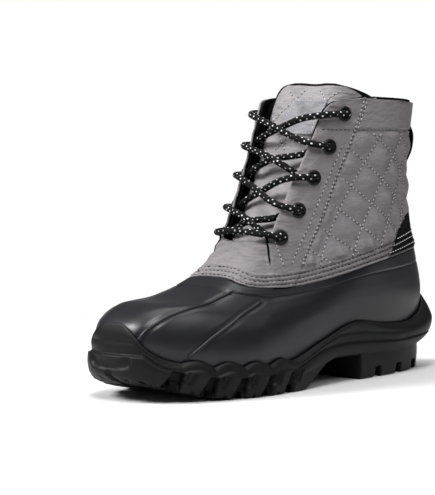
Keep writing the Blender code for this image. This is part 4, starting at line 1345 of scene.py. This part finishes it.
def tongue_front(across, level, lift):
    """Points over the tongue's front, from a share of its half width and a level."""
    y = tongue_lean(level) + tongue_value("half", level) * across
    y = np.where(np.abs(y) < 0.01, 0.01, y)
    edge = np.abs(across) ** 3
    depth = lerp(tongue_value("depth_middle", level), tongue_value("depth_edge", level), edge)
    rising, falling = tongue_quilt(y, level)
    valleys = (1 - bell(rising, TONGUE_VALLEY)) * (1 - bell(falling, TONGUE_VALLEY))
    swell = TONGUE_SWELL * valleys * (1 - edge)
    soft = 0.4 * np.sin(6.4 * level + 0.11 * y) * np.sin(0.17 * y + 0.8) * (1 - edge)
    ahead = form_normal(0.0 * level, level)
    return form(angle_at_width(level, y), level) - ahead * (depth - swell - soft - lift)[:, None]


def tongue_place(u, v):
    level = lerp(TONGUE[0].level, TONGUE[-1].level, v)
    across = np.where(u < 0.5, 1 - 4 * u, 4 * u - 3)
    thick = lerp(tongue_value("thick_middle", level), tongue_value("thick_edge", level), np.abs(across) ** 3)
    thick = thick * np.sqrt(np.clip(1.0 - np.abs(across) ** 8, 0.0, 1.0)) * np.sqrt(smooth(1.02, 0.97, v))
    return tongue_front(across, level, np.where(u < 0.5, 0.0, -thick))


print("tongue:", 2 * TONGUE[-1].half, "mm wide at its top")

# %% [markdown]
# The tongue's front is pale nylon, and its back and edge are black lining. As with the shaft, one mesh
# carries both, and each face's place on the flat cloth says which one it takes.

# %% Build the tongue
PALE_ACROSS = (0.012, 0.488)
PALE_TOP = 0.984
tongue_bm = mapped_grid(TONGUE_COLUMNS, TONGUE_ROWS, tongue_place, flat_cloth(*TONGUE_FLAT))
close_ends(tongue_bm, merge=5e-6)
tongue = add_piece("tongue_pad", tongue_bm, [TONGUE_CLOTH, BLACK_CLOTH_AND_FOLD_SHADE], ["tongue"])
tongue_uv = tongue.data.uv_layers["cloth"].data
for polygon in tongue.data.polygons:
    flat = np.mean([tongue_uv[loop].uv for loop in polygon.loop_indices], axis=0) / MM / TONGUE_FLAT
    front = PALE_ACROSS[0] < flat[0] < PALE_ACROSS[1] and flat[1] < PALE_TOP
    polygon.material_index = 0 if front else 1

# %% [markdown]
# ## The tongue's patch
#
# A plain pale patch is sewn to the upper part of the tongue. It could be a third material on the tongue's
# mesh, but a patch has a thick edge that catches the light. So it is a small grid, lifted off the
# tongue's front and thickened.

# %% Build the tongue's patch
TONGUE_PATCH_ACROSS = (-0.44, 0.52)
TONGUE_PATCH_LEVELS = (8.30, 9.05)
TONGUE_PATCH_LIFT = 0.7
TONGUE_PATCH_THICK = 0.9


def tongue_patch_place(u, v):
    across = lerp(TONGUE_PATCH_ACROSS[0], TONGUE_PATCH_ACROSS[1], u)
    level = lerp(TONGUE_PATCH_LEVELS[0], TONGUE_PATCH_LEVELS[1], v)
    return tongue_front(across, level, np.full_like(level, TONGUE_PATCH_LIFT))


tongue_patch_bm = mapped_grid(40, 34, tongue_patch_place, flat_cloth(30, 23))
tongue_patch = add_piece("tongue_patch", tongue_patch_bm, [PALE_CLOTH])
thicken(tongue_patch, TONGUE_PATCH_THICK, -1.0)

# %% [markdown]
# ## Gussets
#
# Gussets are thin black cloth, folded between the tongue's sides and the flaps to keep snow out. They could
# hang as simulated cloth. Only a dark fold shows here, so each is a grid from the tongue's edge to the
# flap's inside that sags in between.

# %% Build the gussets
GUSSET_LEVELS = (6.1, 8.9)
GUSSET_ACROSS = 0.98
GUSSET_BEHIND = 0.9
GUSSET_TUCK = 9.0
GUSSET_INSIDE = 2.6
GUSSET_SAG = 3.5
GUSSET_WAVE = 1.2
GUSSET_THICK = 0.7


def gusset_place(side):
    def place(u, v):
        level = lerp(GUSSET_LEVELS[0], GUSSET_LEVELS[1], v)
        ahead = form_normal(0.0 * level, level)
        across = np.full_like(level, side * GUSSET_ACROSS)
        inner = tongue_front(across, level, np.full_like(level, -GUSSET_BEHIND))
        share = np.interp(level, EDGE_LEVELS, EDGE_SHARES)
        whole = arc_from_back(0.0 * level, level)
        angle = side * angle_at_share(share - GUSSET_TUCK / whole, level)
        outer = on_form(angle, level, np.full_like(level, -GUSSET_INSIDE))
        sag = np.sin(math.pi * u) * (GUSSET_SAG + GUSSET_WAVE * np.sin(7.0 * level))
        return lerp(inner, outer, u[:, None]) - ahead * sag[:, None]

    return place


gusset_bm = bmesh.new()
for side in (1, -1):
    join_bmesh(gusset_bm, mapped_grid(20, 60, gusset_place(side), flat_cloth(20, 80)))
gusset = add_piece("gussets", gusset_bm, [BLACK_CLOTH_AND_FOLD_SHADE])
thicken(gusset, GUSSET_THICK, 0.0)

# %% [markdown]
# ## Heel patch
#
# A black patch protects the back of the shaft and narrows upwards to a backstay strip. It could be faces
# of the shaft with another material, but its edge would then be as ragged as the grid. So it is a grid of
# its own, whose width follows a table of reaches round the back.

# %% Build the heel patch
PATCH_OUT = 1.5
PATCH_THICK = 0.9
PATCH_ABOVE_HEM = 2.2
PATCH_WAVE = 0.15
PATCH_OVER_CUFF = 1.1


def patch_angle_level(u, v):
    z = lerp(PATCH_Z[0], PATCH_Z[-1], v)
    level = level_at_height(np.full_like(z, math.pi), z)
    arc = patch_reach(z) * (1 - 2 * u)
    angle = angle_at_arc(np.abs(arc), level) * np.where(arc < 0, -1, 1)
    return angle, np.maximum(level, level_above_rim(angle, PATCH_ABOVE_HEM) + 0.05 * v)


def patch_place(u, v):
    angle, level = patch_angle_level(u, v)
    arc = arc_from_back(angle, level)
    wave = PATCH_WAVE * np.sin(0.31 * arc + 2.0 * level)
    over_cuff = PATCH_OVER_CUFF * smooth(-0.03, 0.03, level - CUFF_LEVEL)
    return on_form(angle, level, PATCH_OUT + over_cuff + wave)


patch_bm = mapped_grid(120, 90, patch_place, flat_cloth(150, 80))
patch = add_piece("heel_overlay", patch_bm, [PATCH_CLOTH], ["heel_patch"])
thicken(patch, PATCH_THICK, -1.0)

# %% [markdown]
# ## Pull loop
#
# A loop of webbing stands off the backstay, for pulling the boot on. A curve with a flat bevel would do,
# but it would be smooth. This loop is a flat section along a bowed line, with ribs like those of a tape.

# %% Build the pull loop
LOOP_Z = (171.0, 168.0, 163.0, 156.5, 150.0, 144.0, 139.0)
LOOP_STAND = (0.0, 4.5, 8.0, 8.5, 7.0, 3.5, 0.0)
LOOP_WIDTH = 13.0
LOOP_THICK = 1.6
LOOP_SEAT = 3.5
LOOP_RIBS = 4.5
LOOP_RIB_RAISE = 0.12


def loop_place(u, v):
    z = lerp(LOOP_Z[0], LOOP_Z[-1], v)
    level = level_at_height(np.full_like(z, math.pi), z)
    stand = curve_through(LOOP_Z[::-1], LOOP_STAND[::-1], z)
    turn = 2 * math.pi * u
    across = np.sign(np.cos(turn)) * np.abs(np.cos(turn)) ** 0.25
    lift = np.sign(np.sin(turn)) * np.abs(np.sin(turn)) ** 0.6
    rib = LOOP_RIB_RAISE * np.sin(2 * math.pi * across * LOOP_RIBS)
    out = LOOP_SEAT + stand + 0.5 * LOOP_THICK * (1 + lift) + rib * np.sign(lift)
    points = on_form(np.full_like(z, math.pi), level, out)
    points[:, 1] += 0.5 * LOOP_WIDTH * across
    return points


loop_bm = mapped_grid(64, 70, loop_place, flat_cloth(30, 45))
close_ends(loop_bm, merge=5e-6)
add_piece("webbing_loop", loop_bm, [PATCH_CLOTH], ["pull_loop"])

# %% [markdown]
# ## Insole
#
# Only its dark top shows, deep inside the collar. A new mesh would add nothing there. The solid has the
# right shape, so it stays and gets a cloth finish.

# %% Finish the insole
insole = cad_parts["insole"]
insole.data.materials.clear()
insole.data.materials.append(INSOLE_CLOTH)
print("insole keeps its", len(insole.data.polygons), "faces")

# %% [markdown]
# ## Eyelets
#
# Each eyelet is a painted metal ring, rolled over at its rim. A turned shape like this is a profile spun
# about an axis: the profile is drawn once, spun a full turn with its ends merged, and a copy is set into
# each hole along the surface's own direction.

# %% Build the eyelets
EYELET_Z = (97.1, 114.3, 135.1, 155.0, 176.4)
EYELET_INSET = (4.6, 6.0, 6.5, 6.4, 5.7)
EYELET_SEAT = 1.9
EYELET_PROFILE = (
    (2.4, -3.2), (3.0, -3.2), (3.0, 0.1), (5.0, 0.1), (5.25, 0.45), (5.1, 0.95), (4.5, 1.35),
    (3.7, 1.45), (3.0, 1.2), (2.6, 0.7), (2.4, 0.0),
)
EYELET_SEGMENTS = 32


def eyelet_reach(row):
    return float(throat_half(EYELET_Z[row])) + EYELET_INSET[row]


def eyelet_frames(row, side):
    angle, level = place_at(np.array([side * eyelet_reach(row)]), np.array([EYELET_Z[row]]))
    normal = form_normal(angle, level)[0]
    return form(angle, level)[0] + normal * EYELET_SEAT, normal


eyelets_bm = bmesh.new()
for row in range(len(EYELET_Z)):
    for side in (1, -1):
        place, normal = eyelet_frames(row, side)
        ring = bmesh.new()
        corners = [ring.verts.new((radius * MM, 0.0, z * MM)) for radius, z in EYELET_PROFILE]
        edges = [ring.edges.new(pair) for pair in zip(corners, corners[1:] + corners[:1])]
        bmesh.ops.spin(
            ring, geom=corners + edges, cent=(0, 0, 0), axis=(0, 0, 1), angle=2 * math.pi,
            steps=EYELET_SEGMENTS, use_merge=True, use_duplicate=False,
        )
        bmesh.ops.remove_doubles(ring, verts=ring.verts, dist=1e-6)
        turn = Vector(normal).to_track_quat("Z", "Y").to_matrix().to_4x4()
        bmesh.ops.transform(ring, matrix=Matrix.Translation(to_world(place)) @ turn, verts=ring.verts)
        join_bmesh(eyelets_bm, ring)
eyelet_nodes = [f"eyelet_{tag}_{row + 1}" for tag in ("lateral", "medial") for row in range(len(EYELET_Z))]
add_piece("eyelet_rings", eyelets_bm, [EYELET_PAINT], eyelet_nodes, merge=1e-6)

# %% [markdown]
# ## Lace
#
# The lace is a round braid, black with white flecks. It lies straight across the bottom pair of eyelets,
# goes in through them, comes out from behind the flaps and crosses to the outside of the next pair, and
# so on up to the top pair, where its ends go inside. The route is a list of places across, heights and
# distances from the last, and a round section is swept along the smooth curve through them.

# %% Lace sizes
LACE_RADIUS = 2.2
OVER_FLAP = 4.9
UNDER_FLAP = -4.0
LACE_MIDDLE = 1.5
LACE_CROSS_RISE = 2.1
LACE_BAR_RISE = 2.0
LACE_STEPS = 9
LACE_COLUMNS = 14


def through_eyelet(row, side, inwards):
    """Guide points through an eyelet's bore."""
    reach = eyelet_reach(row)
    z = EYELET_Z[row]
    points = [
        (side * reach, z, 4.6),
        (side * (reach + 0.2), z + 0.4, 0.4),
        (side * (reach - 0.8), z + 0.8, -3.7),
    ]
    return points if inwards else points[::-1]


def crossing(row, side, leaves_over, lands_over):
    """Guide points from one flap's edge to the other flap, one row higher."""
    low, high = EYELET_Z[row], EYELET_Z[row + 1]
    edge = float(throat_half(low))
    land = float(throat_half(high))
    if leaves_over:
        guides = [
            (side * (edge + 1.5), lerp(low, high, 0.05), OVER_FLAP + 0.5),
            (side * (edge - 3.5), lerp(low, high, 0.14), OVER_FLAP - 0.4),
        ]
    else:
        guides = [
            (side * (edge + 1.0), lerp(low, high, 0.17), UNDER_FLAP),
            (side * (edge - 4.5), lerp(low, high, 0.28), UNDER_FLAP + 0.9),
        ]
    middle = 0.52 if leaves_over else 0.60
    guides.append((0.0, lerp(low, high, middle), LACE_MIDDLE + LACE_CROSS_RISE * side))
    if lands_over:
        guides.append((-side * (land - 3.5), lerp(low, high, 0.88), OVER_FLAP))
        guides.append((-side * (land + 1.5), lerp(low, high, 0.96), OVER_FLAP + 0.6))
    else:
        guides.append((-side * (land - 4.5), lerp(low, high, 0.80), UNDER_FLAP + 0.9))
        guides.append((-side * (land + 1.0), lerp(low, high, 0.90), UNDER_FLAP))
    return guides


def strand(side, weaves):
    """Guide points from a bottom eyelet up to the end inside a top one.

    A strand that weaves passes under both flaps and over both by turns. The other one always leaves
    from under a flap and lands over the next.
    """
    guides = through_eyelet(0, side, True)
    over = False
    for row in range(len(EYELET_Z) - 1):
        lands_over = over if weaves else True
        guides += crossing(row, side, over, lands_over)
        side = -side
        guides += through_eyelet(row + 1, side, lands_over)
        over = weaves and not lands_over
    return guides


def lace_guides():
    z = EYELET_Z[0]
    reach = eyelet_reach(0)
    shares = (0.7, 0.35, 0.0, -0.35, -0.7)
    bar = [(share * reach, z + LACE_BAR_RISE * (0.6 - share * share), OVER_FLAP) for share in shares]
    return np.array(strand(1, False)[::-1] + bar + strand(-1, True))


def smooth_path(guides, per_span):
    at = np.linspace(0, len(guides) - 1, (len(guides) - 1) * per_span + 1)
    return np.stack([curve_through(np.arange(len(guides)), column, at) for column in guides.T], axis=1)


print("lace guides:", len(lace_guides()))

# %% [markdown]
# ## The lace's finish
#
# The braid is black with small white flecks where a light thread comes to the top. Painted flecks would
# need a picture. A Voronoi texture with little randomness, turned by 45 degrees on the lace's own UV map,
# gives dots in slanting rows like those of a braid.

# %% The lace's finish
BRAID_BLACK = (0.005, 0.005, 0.0055)
FLECK_WHITE = (0.62, 0.62, 0.62)
braid = Finish("black_braid", BRAID_BLACK, 0.7, specular=0.08)
flecks = braid.nodes.new("ShaderNodeTexVoronoi")
flecks.inputs["Scale"].default_value = 1.0
flecks.inputs["Randomness"].default_value = 0.2
fleck_grid = braid.coordinates("cloth", (290.0, 290.0, 1.0), turn=math.radians(45))
braid.links.new(fleck_grid, flecks.inputs["Vector"])
fleck_edge = braid.nodes.new("ShaderNodeValToRGB")
fleck_edge.color_ramp.elements[0].position = 0.13
fleck_edge.color_ramp.elements[0].color = (*FLECK_WHITE, 1.0)
fleck_edge.color_ramp.elements[1].position = 0.20
fleck_edge.color_ramp.elements[1].color = (*BRAID_BLACK, 1.0)
braid.links.new(flecks.outputs["Distance"], fleck_edge.inputs["Fac"])
braid.links.new(fleck_edge.outputs["Color"], braid.shader.inputs["Base Color"])
braid.bump(braid.bands("cloth", (330.0, 330.0, 330.0), "DIAGONAL"), 0.6, 0.25)
BRAID = braid.material
print("braid:", len(braid.nodes), "nodes")

# %% [markdown]
# ## Sweeping the lace
#
# A curve object with a round bevel would be quickest, but its section can twist where the lace turns, and
# the flecks would twist with it. Here each ring's sideways direction is carried on from the ring before,
# so the braid runs straight along the lace.

# %% Build the lace
lace_line = smooth_path(lace_guides(), LACE_STEPS)
lace_y = np.where(np.abs(lace_line[:, 0]) < 0.01, 0.01, lace_line[:, 0])
lace_angle, lace_level = place_at(lace_y, lace_line[:, 1])
lace_path = on_form(lace_angle, lace_level, lace_line[:, 2])
for _ in range(2):
    lace_path[1:-1] = 0.25 * lace_path[:-2] + 0.5 * lace_path[1:-1] + 0.25 * lace_path[2:]
lace_run = unit(np.gradient(lace_path, axis=0))
lace_side = np.zeros_like(lace_path)
lace_side[0] = unit(np.cross(lace_run[0], [0.3, 0.2, 1.0]))
for i in range(1, len(lace_path)):
    carried = lace_side[i - 1] - lace_run[i] * np.dot(lace_side[i - 1], lace_run[i])
    lace_side[i] = unit(carried)
lace_lift = np.cross(lace_run, lace_side)
lace_length = path_length(lace_path)


def lace_place(u, v):
    at = np.rint(v * (len(lace_path) - 1)).astype(int)
    turn = 2 * math.pi * u
    ends = np.minimum(smooth(-0.002, 0.004, v), smooth(1.002, 0.996, v))
    ring = lace_side[at] * np.cos(turn)[:, None] + lace_lift[at] * np.sin(turn)[:, None]
    return lace_path[at] + ring * (LACE_RADIUS * ends)[:, None]


def lace_cloth(u, v):
    at = np.rint(v * (len(lace_path) - 1)).astype(int)
    return np.stack([u * 2 * math.pi * LACE_RADIUS, lace_length[at]], axis=1)


lace_bm = mapped_grid(LACE_COLUMNS, len(lace_path) - 1, lace_place, lace_cloth)
close_ends(lace_bm, merge=2e-6)
lace_nodes = ["lace_bar"] + [f"lace_cross_{row + 1}" for row in range(len(EYELET_Z) - 1)]
add_piece("lace", lace_bm, [BRAID], lace_nodes, merge=1e-6)
print("lace length:", round(float(lace_length[-1])), "mm")

# %% [markdown]
# ## Stitches
#
# Seams read as seams because of their thread: short raised strokes with a needle hole between each two, dark
# with shade. Each stitch is a tiny stretched sphere set along its seam's line on the cloth, and each hole's
# shade is painted as a smaller near-black one. They are real geometry and not a bump, so they catch the
# light from any side.

# %% Stitch helpers
Stitch = namedtuple("Stitch", "pitch length radius lift")
# The needle holes' shade is painted: small near-black beads between the stitches.
HOLE_SHADE_OVERLAP = 0.15
HOLE_SHADE_SHARE = 0.7


def add_bead(bm, middle, run, half_length, radius):
    turn = Vector(run).to_track_quat("X", "Z").to_matrix().to_4x4()
    shape = Matrix.Diagonal((half_length * MM, radius * MM, radius * MM, 1.0))
    place = Matrix.Translation(to_world(middle))
    bmesh.ops.create_icosphere(bm, subdivisions=1, radius=1.0, matrix=place @ turn @ shape)


def stitch_row(threads, path, stitch, hole_shade=None):
    """Set stitches along a path of points in millimetres, with painted shade for needle holes between if
    asked.
    """
    steps = path_length(path)
    count = int(steps[-1] // stitch.pitch)
    marks = np.arange(2 * count + 1) * 0.5 * stitch.pitch
    hole_shade_half = 0.5 * (stitch.pitch - stitch.length) + HOLE_SHADE_OVERLAP
    points = np.stack([np.interp(marks, steps, column) for column in path.T], axis=1)
    for i in range(count):
        run = points[2 * i + 2] - points[2 * i]
        if np.linalg.norm(run) > 0.3 * stitch.pitch:
            add_bead(threads, points[2 * i + 1], run, 0.5 * stitch.length, stitch.radius)
            if hole_shade is not None:
                add_bead(hole_shade, points[2 * i], run, hole_shade_half, HOLE_SHADE_SHARE * stitch.radius)


def on_shaft(angle, level, lift):
    points = form(angle, level)
    out = shaft_relief(angle, level, points) + lift
    return points + form_normal(angle, level) * out[:, None]


# %% [markdown]
# ## Hem, stay and cuff stitches
#
# Three rows of thick stitches hold the hem to the rubber, a pair of rows runs along the eyelet stay's edge,
# one row lies in front of it, and one holds the collar's band. The thread is grey, but the hem's rows and
# the band's row are drawn as near-black beads, as painted shade of their needle holes and sunken rows. An
# array of stitches along a curve would also do, but its rows would be modifiers to apply. Here each row is
# walked in even steps along its own line on the cloth.

# %% Hem, stay and cuff stitches
HEM_STITCH = Stitch(3.4, 2.5, 0.5, 0.1)
STAY_STITCH = Stitch(3.0, 1.9, 0.42, 0.2)
STAY_STITCH_SHIFTS = (-1.3, 1.3)
STAY_STITCH_LEVELS = (5.52, 8.97)
FLAP_STITCH = Stitch(3.3, 1.9, 0.4, 0.15)
FLAP_STITCH_LEVELS = (5.55, 8.05)
FLAP_STITCH_AHEAD = (9.8, 6.5)
CUFF_STITCH = Stitch(3.3, 2.3, 0.36, 0.1)
seam_bm = bmesh.new()
hem_shade_bm = bmesh.new()
hole_shade_bm = bmesh.new()
full_turn = np.linspace(-math.pi, math.pi, 700)
for row in HEM_ROWS:
    hem_path = on_shaft(full_turn, level_above_rim(full_turn, row), HEM_STITCH.lift)
    stitch_row(hem_shade_bm, hem_path, HEM_STITCH)
for side in (1, -1):
    level = np.linspace(*STAY_STITCH_LEVELS, 160)
    for shift in STAY_STITCH_SHIFTS:
        angle = side * angle_at_arc(stay_arc(level) - shift, level)
        stitch_row(seam_bm, on_shaft(angle, level, STAY_STITCH.lift), STAY_STITCH, hole_shade_bm)
    level = np.linspace(*FLAP_STITCH_LEVELS, 120)
    angle = side * angle_at_arc(stay_arc(level) + np.linspace(*FLAP_STITCH_AHEAD, 120), level)
    stitch_row(seam_bm, on_shaft(angle, level, FLAP_STITCH.lift), FLAP_STITCH, hole_shade_bm)
    edge_share = np.interp(CUFF_LEVEL, EDGE_LEVELS, EDGE_SHARES)
    share = np.linspace(edge_share - 0.02, 0.06, 200)
    level = np.full_like(share, CUFF_LEVEL)
    stitch_row(hem_shade_bm, on_shaft(side * angle_at_share(share, level), level, CUFF_STITCH.lift), CUFF_STITCH)
# Near-black beads: painted shade of the hem's and the band's needle holes and sunken rows.
add_piece("hem_stitch_shade", hem_shade_bm, [STITCH_SHADE], merge=1e-7)

# %% [markdown]
# ## The flaps' front folds
#
# Where each flap meets the front below the throat, the cloth is turned in, and the fold casts a dark line of
# shadow with a row of stitches beside it. The fold could be a deep crease in the shaft, but the shaft's grid
# is too coarse for it. So its shadow is painted: a thin black tube lies along the line and thins out
# downwards.

# %% The flaps' front folds
FOLD_Z = (79.0, 96.5)
FOLD_SHADE_HALF = 0.75
FOLD_SHADE_HEIGHT = 0.4
FOLD_SHADE_LIFT = 0.15
FOLD_SHADE_SIDES = 10
FOLD_STITCH = Stitch(3.0, 1.9, 0.38, 0.15)
FOLD_STITCH_BESIDE = 2.6


def fold_shade_taper(v):
    return smooth(-0.02, 0.3, v)


fold_shade_bm = bmesh.new()
fold_z = np.linspace(*FOLD_Z, 50)
for side in (1, -1):
    fold_y = curve_through(FRONT_SEAM_Z, FRONT_SEAM_HALF, fold_z)
    angle, level = place_at(side * fold_y, fold_z)
    normals = form_normal(angle, level)
    path = on_shaft(angle, level, FOLD_SHADE_LIFT)
    join_bmesh(fold_shade_bm, swept_tube(path, normals, FOLD_SHADE_HALF, FOLD_SHADE_HEIGHT, FOLD_SHADE_SIDES, fold_shade_taper))
    angle, level = place_at(side * (fold_y + FOLD_STITCH_BESIDE), fold_z)
    stitch_row(seam_bm, on_shaft(angle, level, FOLD_STITCH.lift), FOLD_STITCH, hole_shade_bm)
# Painted shadow of each flap's front fold: a thin black tube.
add_piece("flap_fold_shade", fold_shade_bm, [BLACK_CLOTH_AND_FOLD_SHADE], merge=1e-6)

# %% [markdown]
# ## Quilting stitches
#
# The thread that pulls the quilting down lies at the bottom of each valley. The stitches could be set by
# hand along what the eye sees. But the valleys come from straight lines on the flat cloth, so the same
# lines, cut off at the panel's edges, give the stitches their places.

# %% Quilting stitches
QUILT_STITCH = Stitch(3.2, 1.9, 0.42, 0.2)
QUILT_LINES = range(-8, 3)
QUILT_Z = (78.0, 168.0)
QUILT_ARCS = (5.0, 165.0)


def quilt_path(arc, z):
    """The stretch of a quilting line that lies on the quilted panel."""
    angle, level = place_at_arc(arc, z)
    hem = above_rim(angle, level)
    keep = (arc > 10.0) & (stay_arc(level) - arc > 1.5) & (hem > HEM_TOP - 1.0) & (level < CUFF_LEVEL)
    return angle[keep], level[keep]


quilt_bm = bmesh.new()
heights = np.linspace(*QUILT_Z, 200)
for index in QUILT_LINES:
    first_arc = QUILT_FIRST + index * QUILT_FIRST_GAP - QUILT_FIRST_SLOPE * heights
    second_arc = (heights - QUILT_SECOND - (index + 2) * QUILT_SECOND_GAP) / QUILT_SECOND_SLOPE
    for arc in (first_arc, second_arc):
        usable = (arc > QUILT_ARCS[0]) & (arc < QUILT_ARCS[1])
        if usable.sum() < 4:
            continue
        angle, level = quilt_path(arc[usable], heights[usable])
        for side in (1, -1):
            if len(angle) > 4:
                path = on_shaft(side * angle, level, QUILT_STITCH.lift)
                stitch_row(quilt_bm, path, QUILT_STITCH, hole_shade_bm)
add_piece("quilt_stitches", quilt_bm, [GREY_THREAD], merge=1e-7)

# %% [markdown]
# ## Tongue stitches
#
# The tongue's quilting shows above the lace, and a border of small stitches holds its patch. A stitched
# texture would be less work, but it would look flat beside the shaft's thread. As on the shaft, the lines
# that shaped the quilting place the stitches, and the border is four straight runs on the patch's grid.

# %% Tongue stitches
TONGUE_STITCH = Stitch(3.0, 1.9, 0.36, 0.15)
TONGUE_STITCH_LEVELS = (8.0, 9.30)
BORDER_STITCH = Stitch(2.4, 1.6, 0.26, 0.0)
level = np.linspace(*TONGUE_STITCH_LEVELS, 120)
front_z = form(0.0 * level, level)[:, 2]
for index in range(-12, 13):
    rising_y = TONGUE_RISING + TONGUE_QUILT_GAP * index - TONGUE_QUILT_SLOPE * front_z
    falling_y = TONGUE_FALLING + TONGUE_QUILT_GAP * index + TONGUE_QUILT_SLOPE * front_z
    for y in (rising_y, falling_y):
        across = (y - tongue_lean(level)) / tongue_value("half", level)
        keep = np.abs(across) < 0.9
        if keep.sum() > 8:
            path = tongue_front(across[keep], level[keep], np.full_like(across[keep], TONGUE_STITCH.lift))
            stitch_row(seam_bm, path, TONGUE_STITCH, hole_shade_bm)
border = np.linspace(0.0, 1.0, 40)
corners = ((0.05, 0.06), (0.95, 0.06), (0.95, 0.94), (0.05, 0.94), (0.05, 0.06))
for start, end in zip(corners[:-1], corners[1:]):
    u = lerp(start[0], end[0], border)
    v = lerp(start[1], end[1], border)
    stitch_row(seam_bm, tongue_patch_place(u, v), BORDER_STITCH)
add_piece("seam_stitches", seam_bm, [GREY_THREAD], merge=1e-7)

# %% [markdown]
# ## Heel patch stitches
#
# The hem's three rows go on over the heel patch in white thread. White stripes in the patch's material
# would look printed. So these rows are stitches too, measured up from the rim like the hem's own rows, and
# they end just inside the patch's edge.

# %% Heel patch stitches
PATCH_STITCH = Stitch(3.8, 2.8, 0.36, 0.15)
PATCH_ROW_RISE = 1.4
PATCH_ROW_INSET = 2.0
patch_stitch_bm = bmesh.new()
for row in HEM_ROWS:
    angle = np.linspace(0.45 * math.pi, 1.55 * math.pi, 400)
    level = level_above_rim(angle, row + PATCH_ROW_RISE)
    points = form(angle, level)
    on_patch = arc_from_back(angle, level) < patch_reach(points[:, 2]) - PATCH_ROW_INSET
    path = on_form(angle, level, np.full_like(angle, PATCH_OUT + PATCH_STITCH.lift))[on_patch]
    stitch_row(patch_stitch_bm, path, PATCH_STITCH)
add_piece("patch_stitches", patch_stitch_bm, [WHITE_THREAD], merge=1e-7)
# Painted shade of the needle holes: near-black beads between the stitches.
add_piece("needle_hole_shade", hole_shade_bm, [STITCH_SHADE], merge=1e-7)
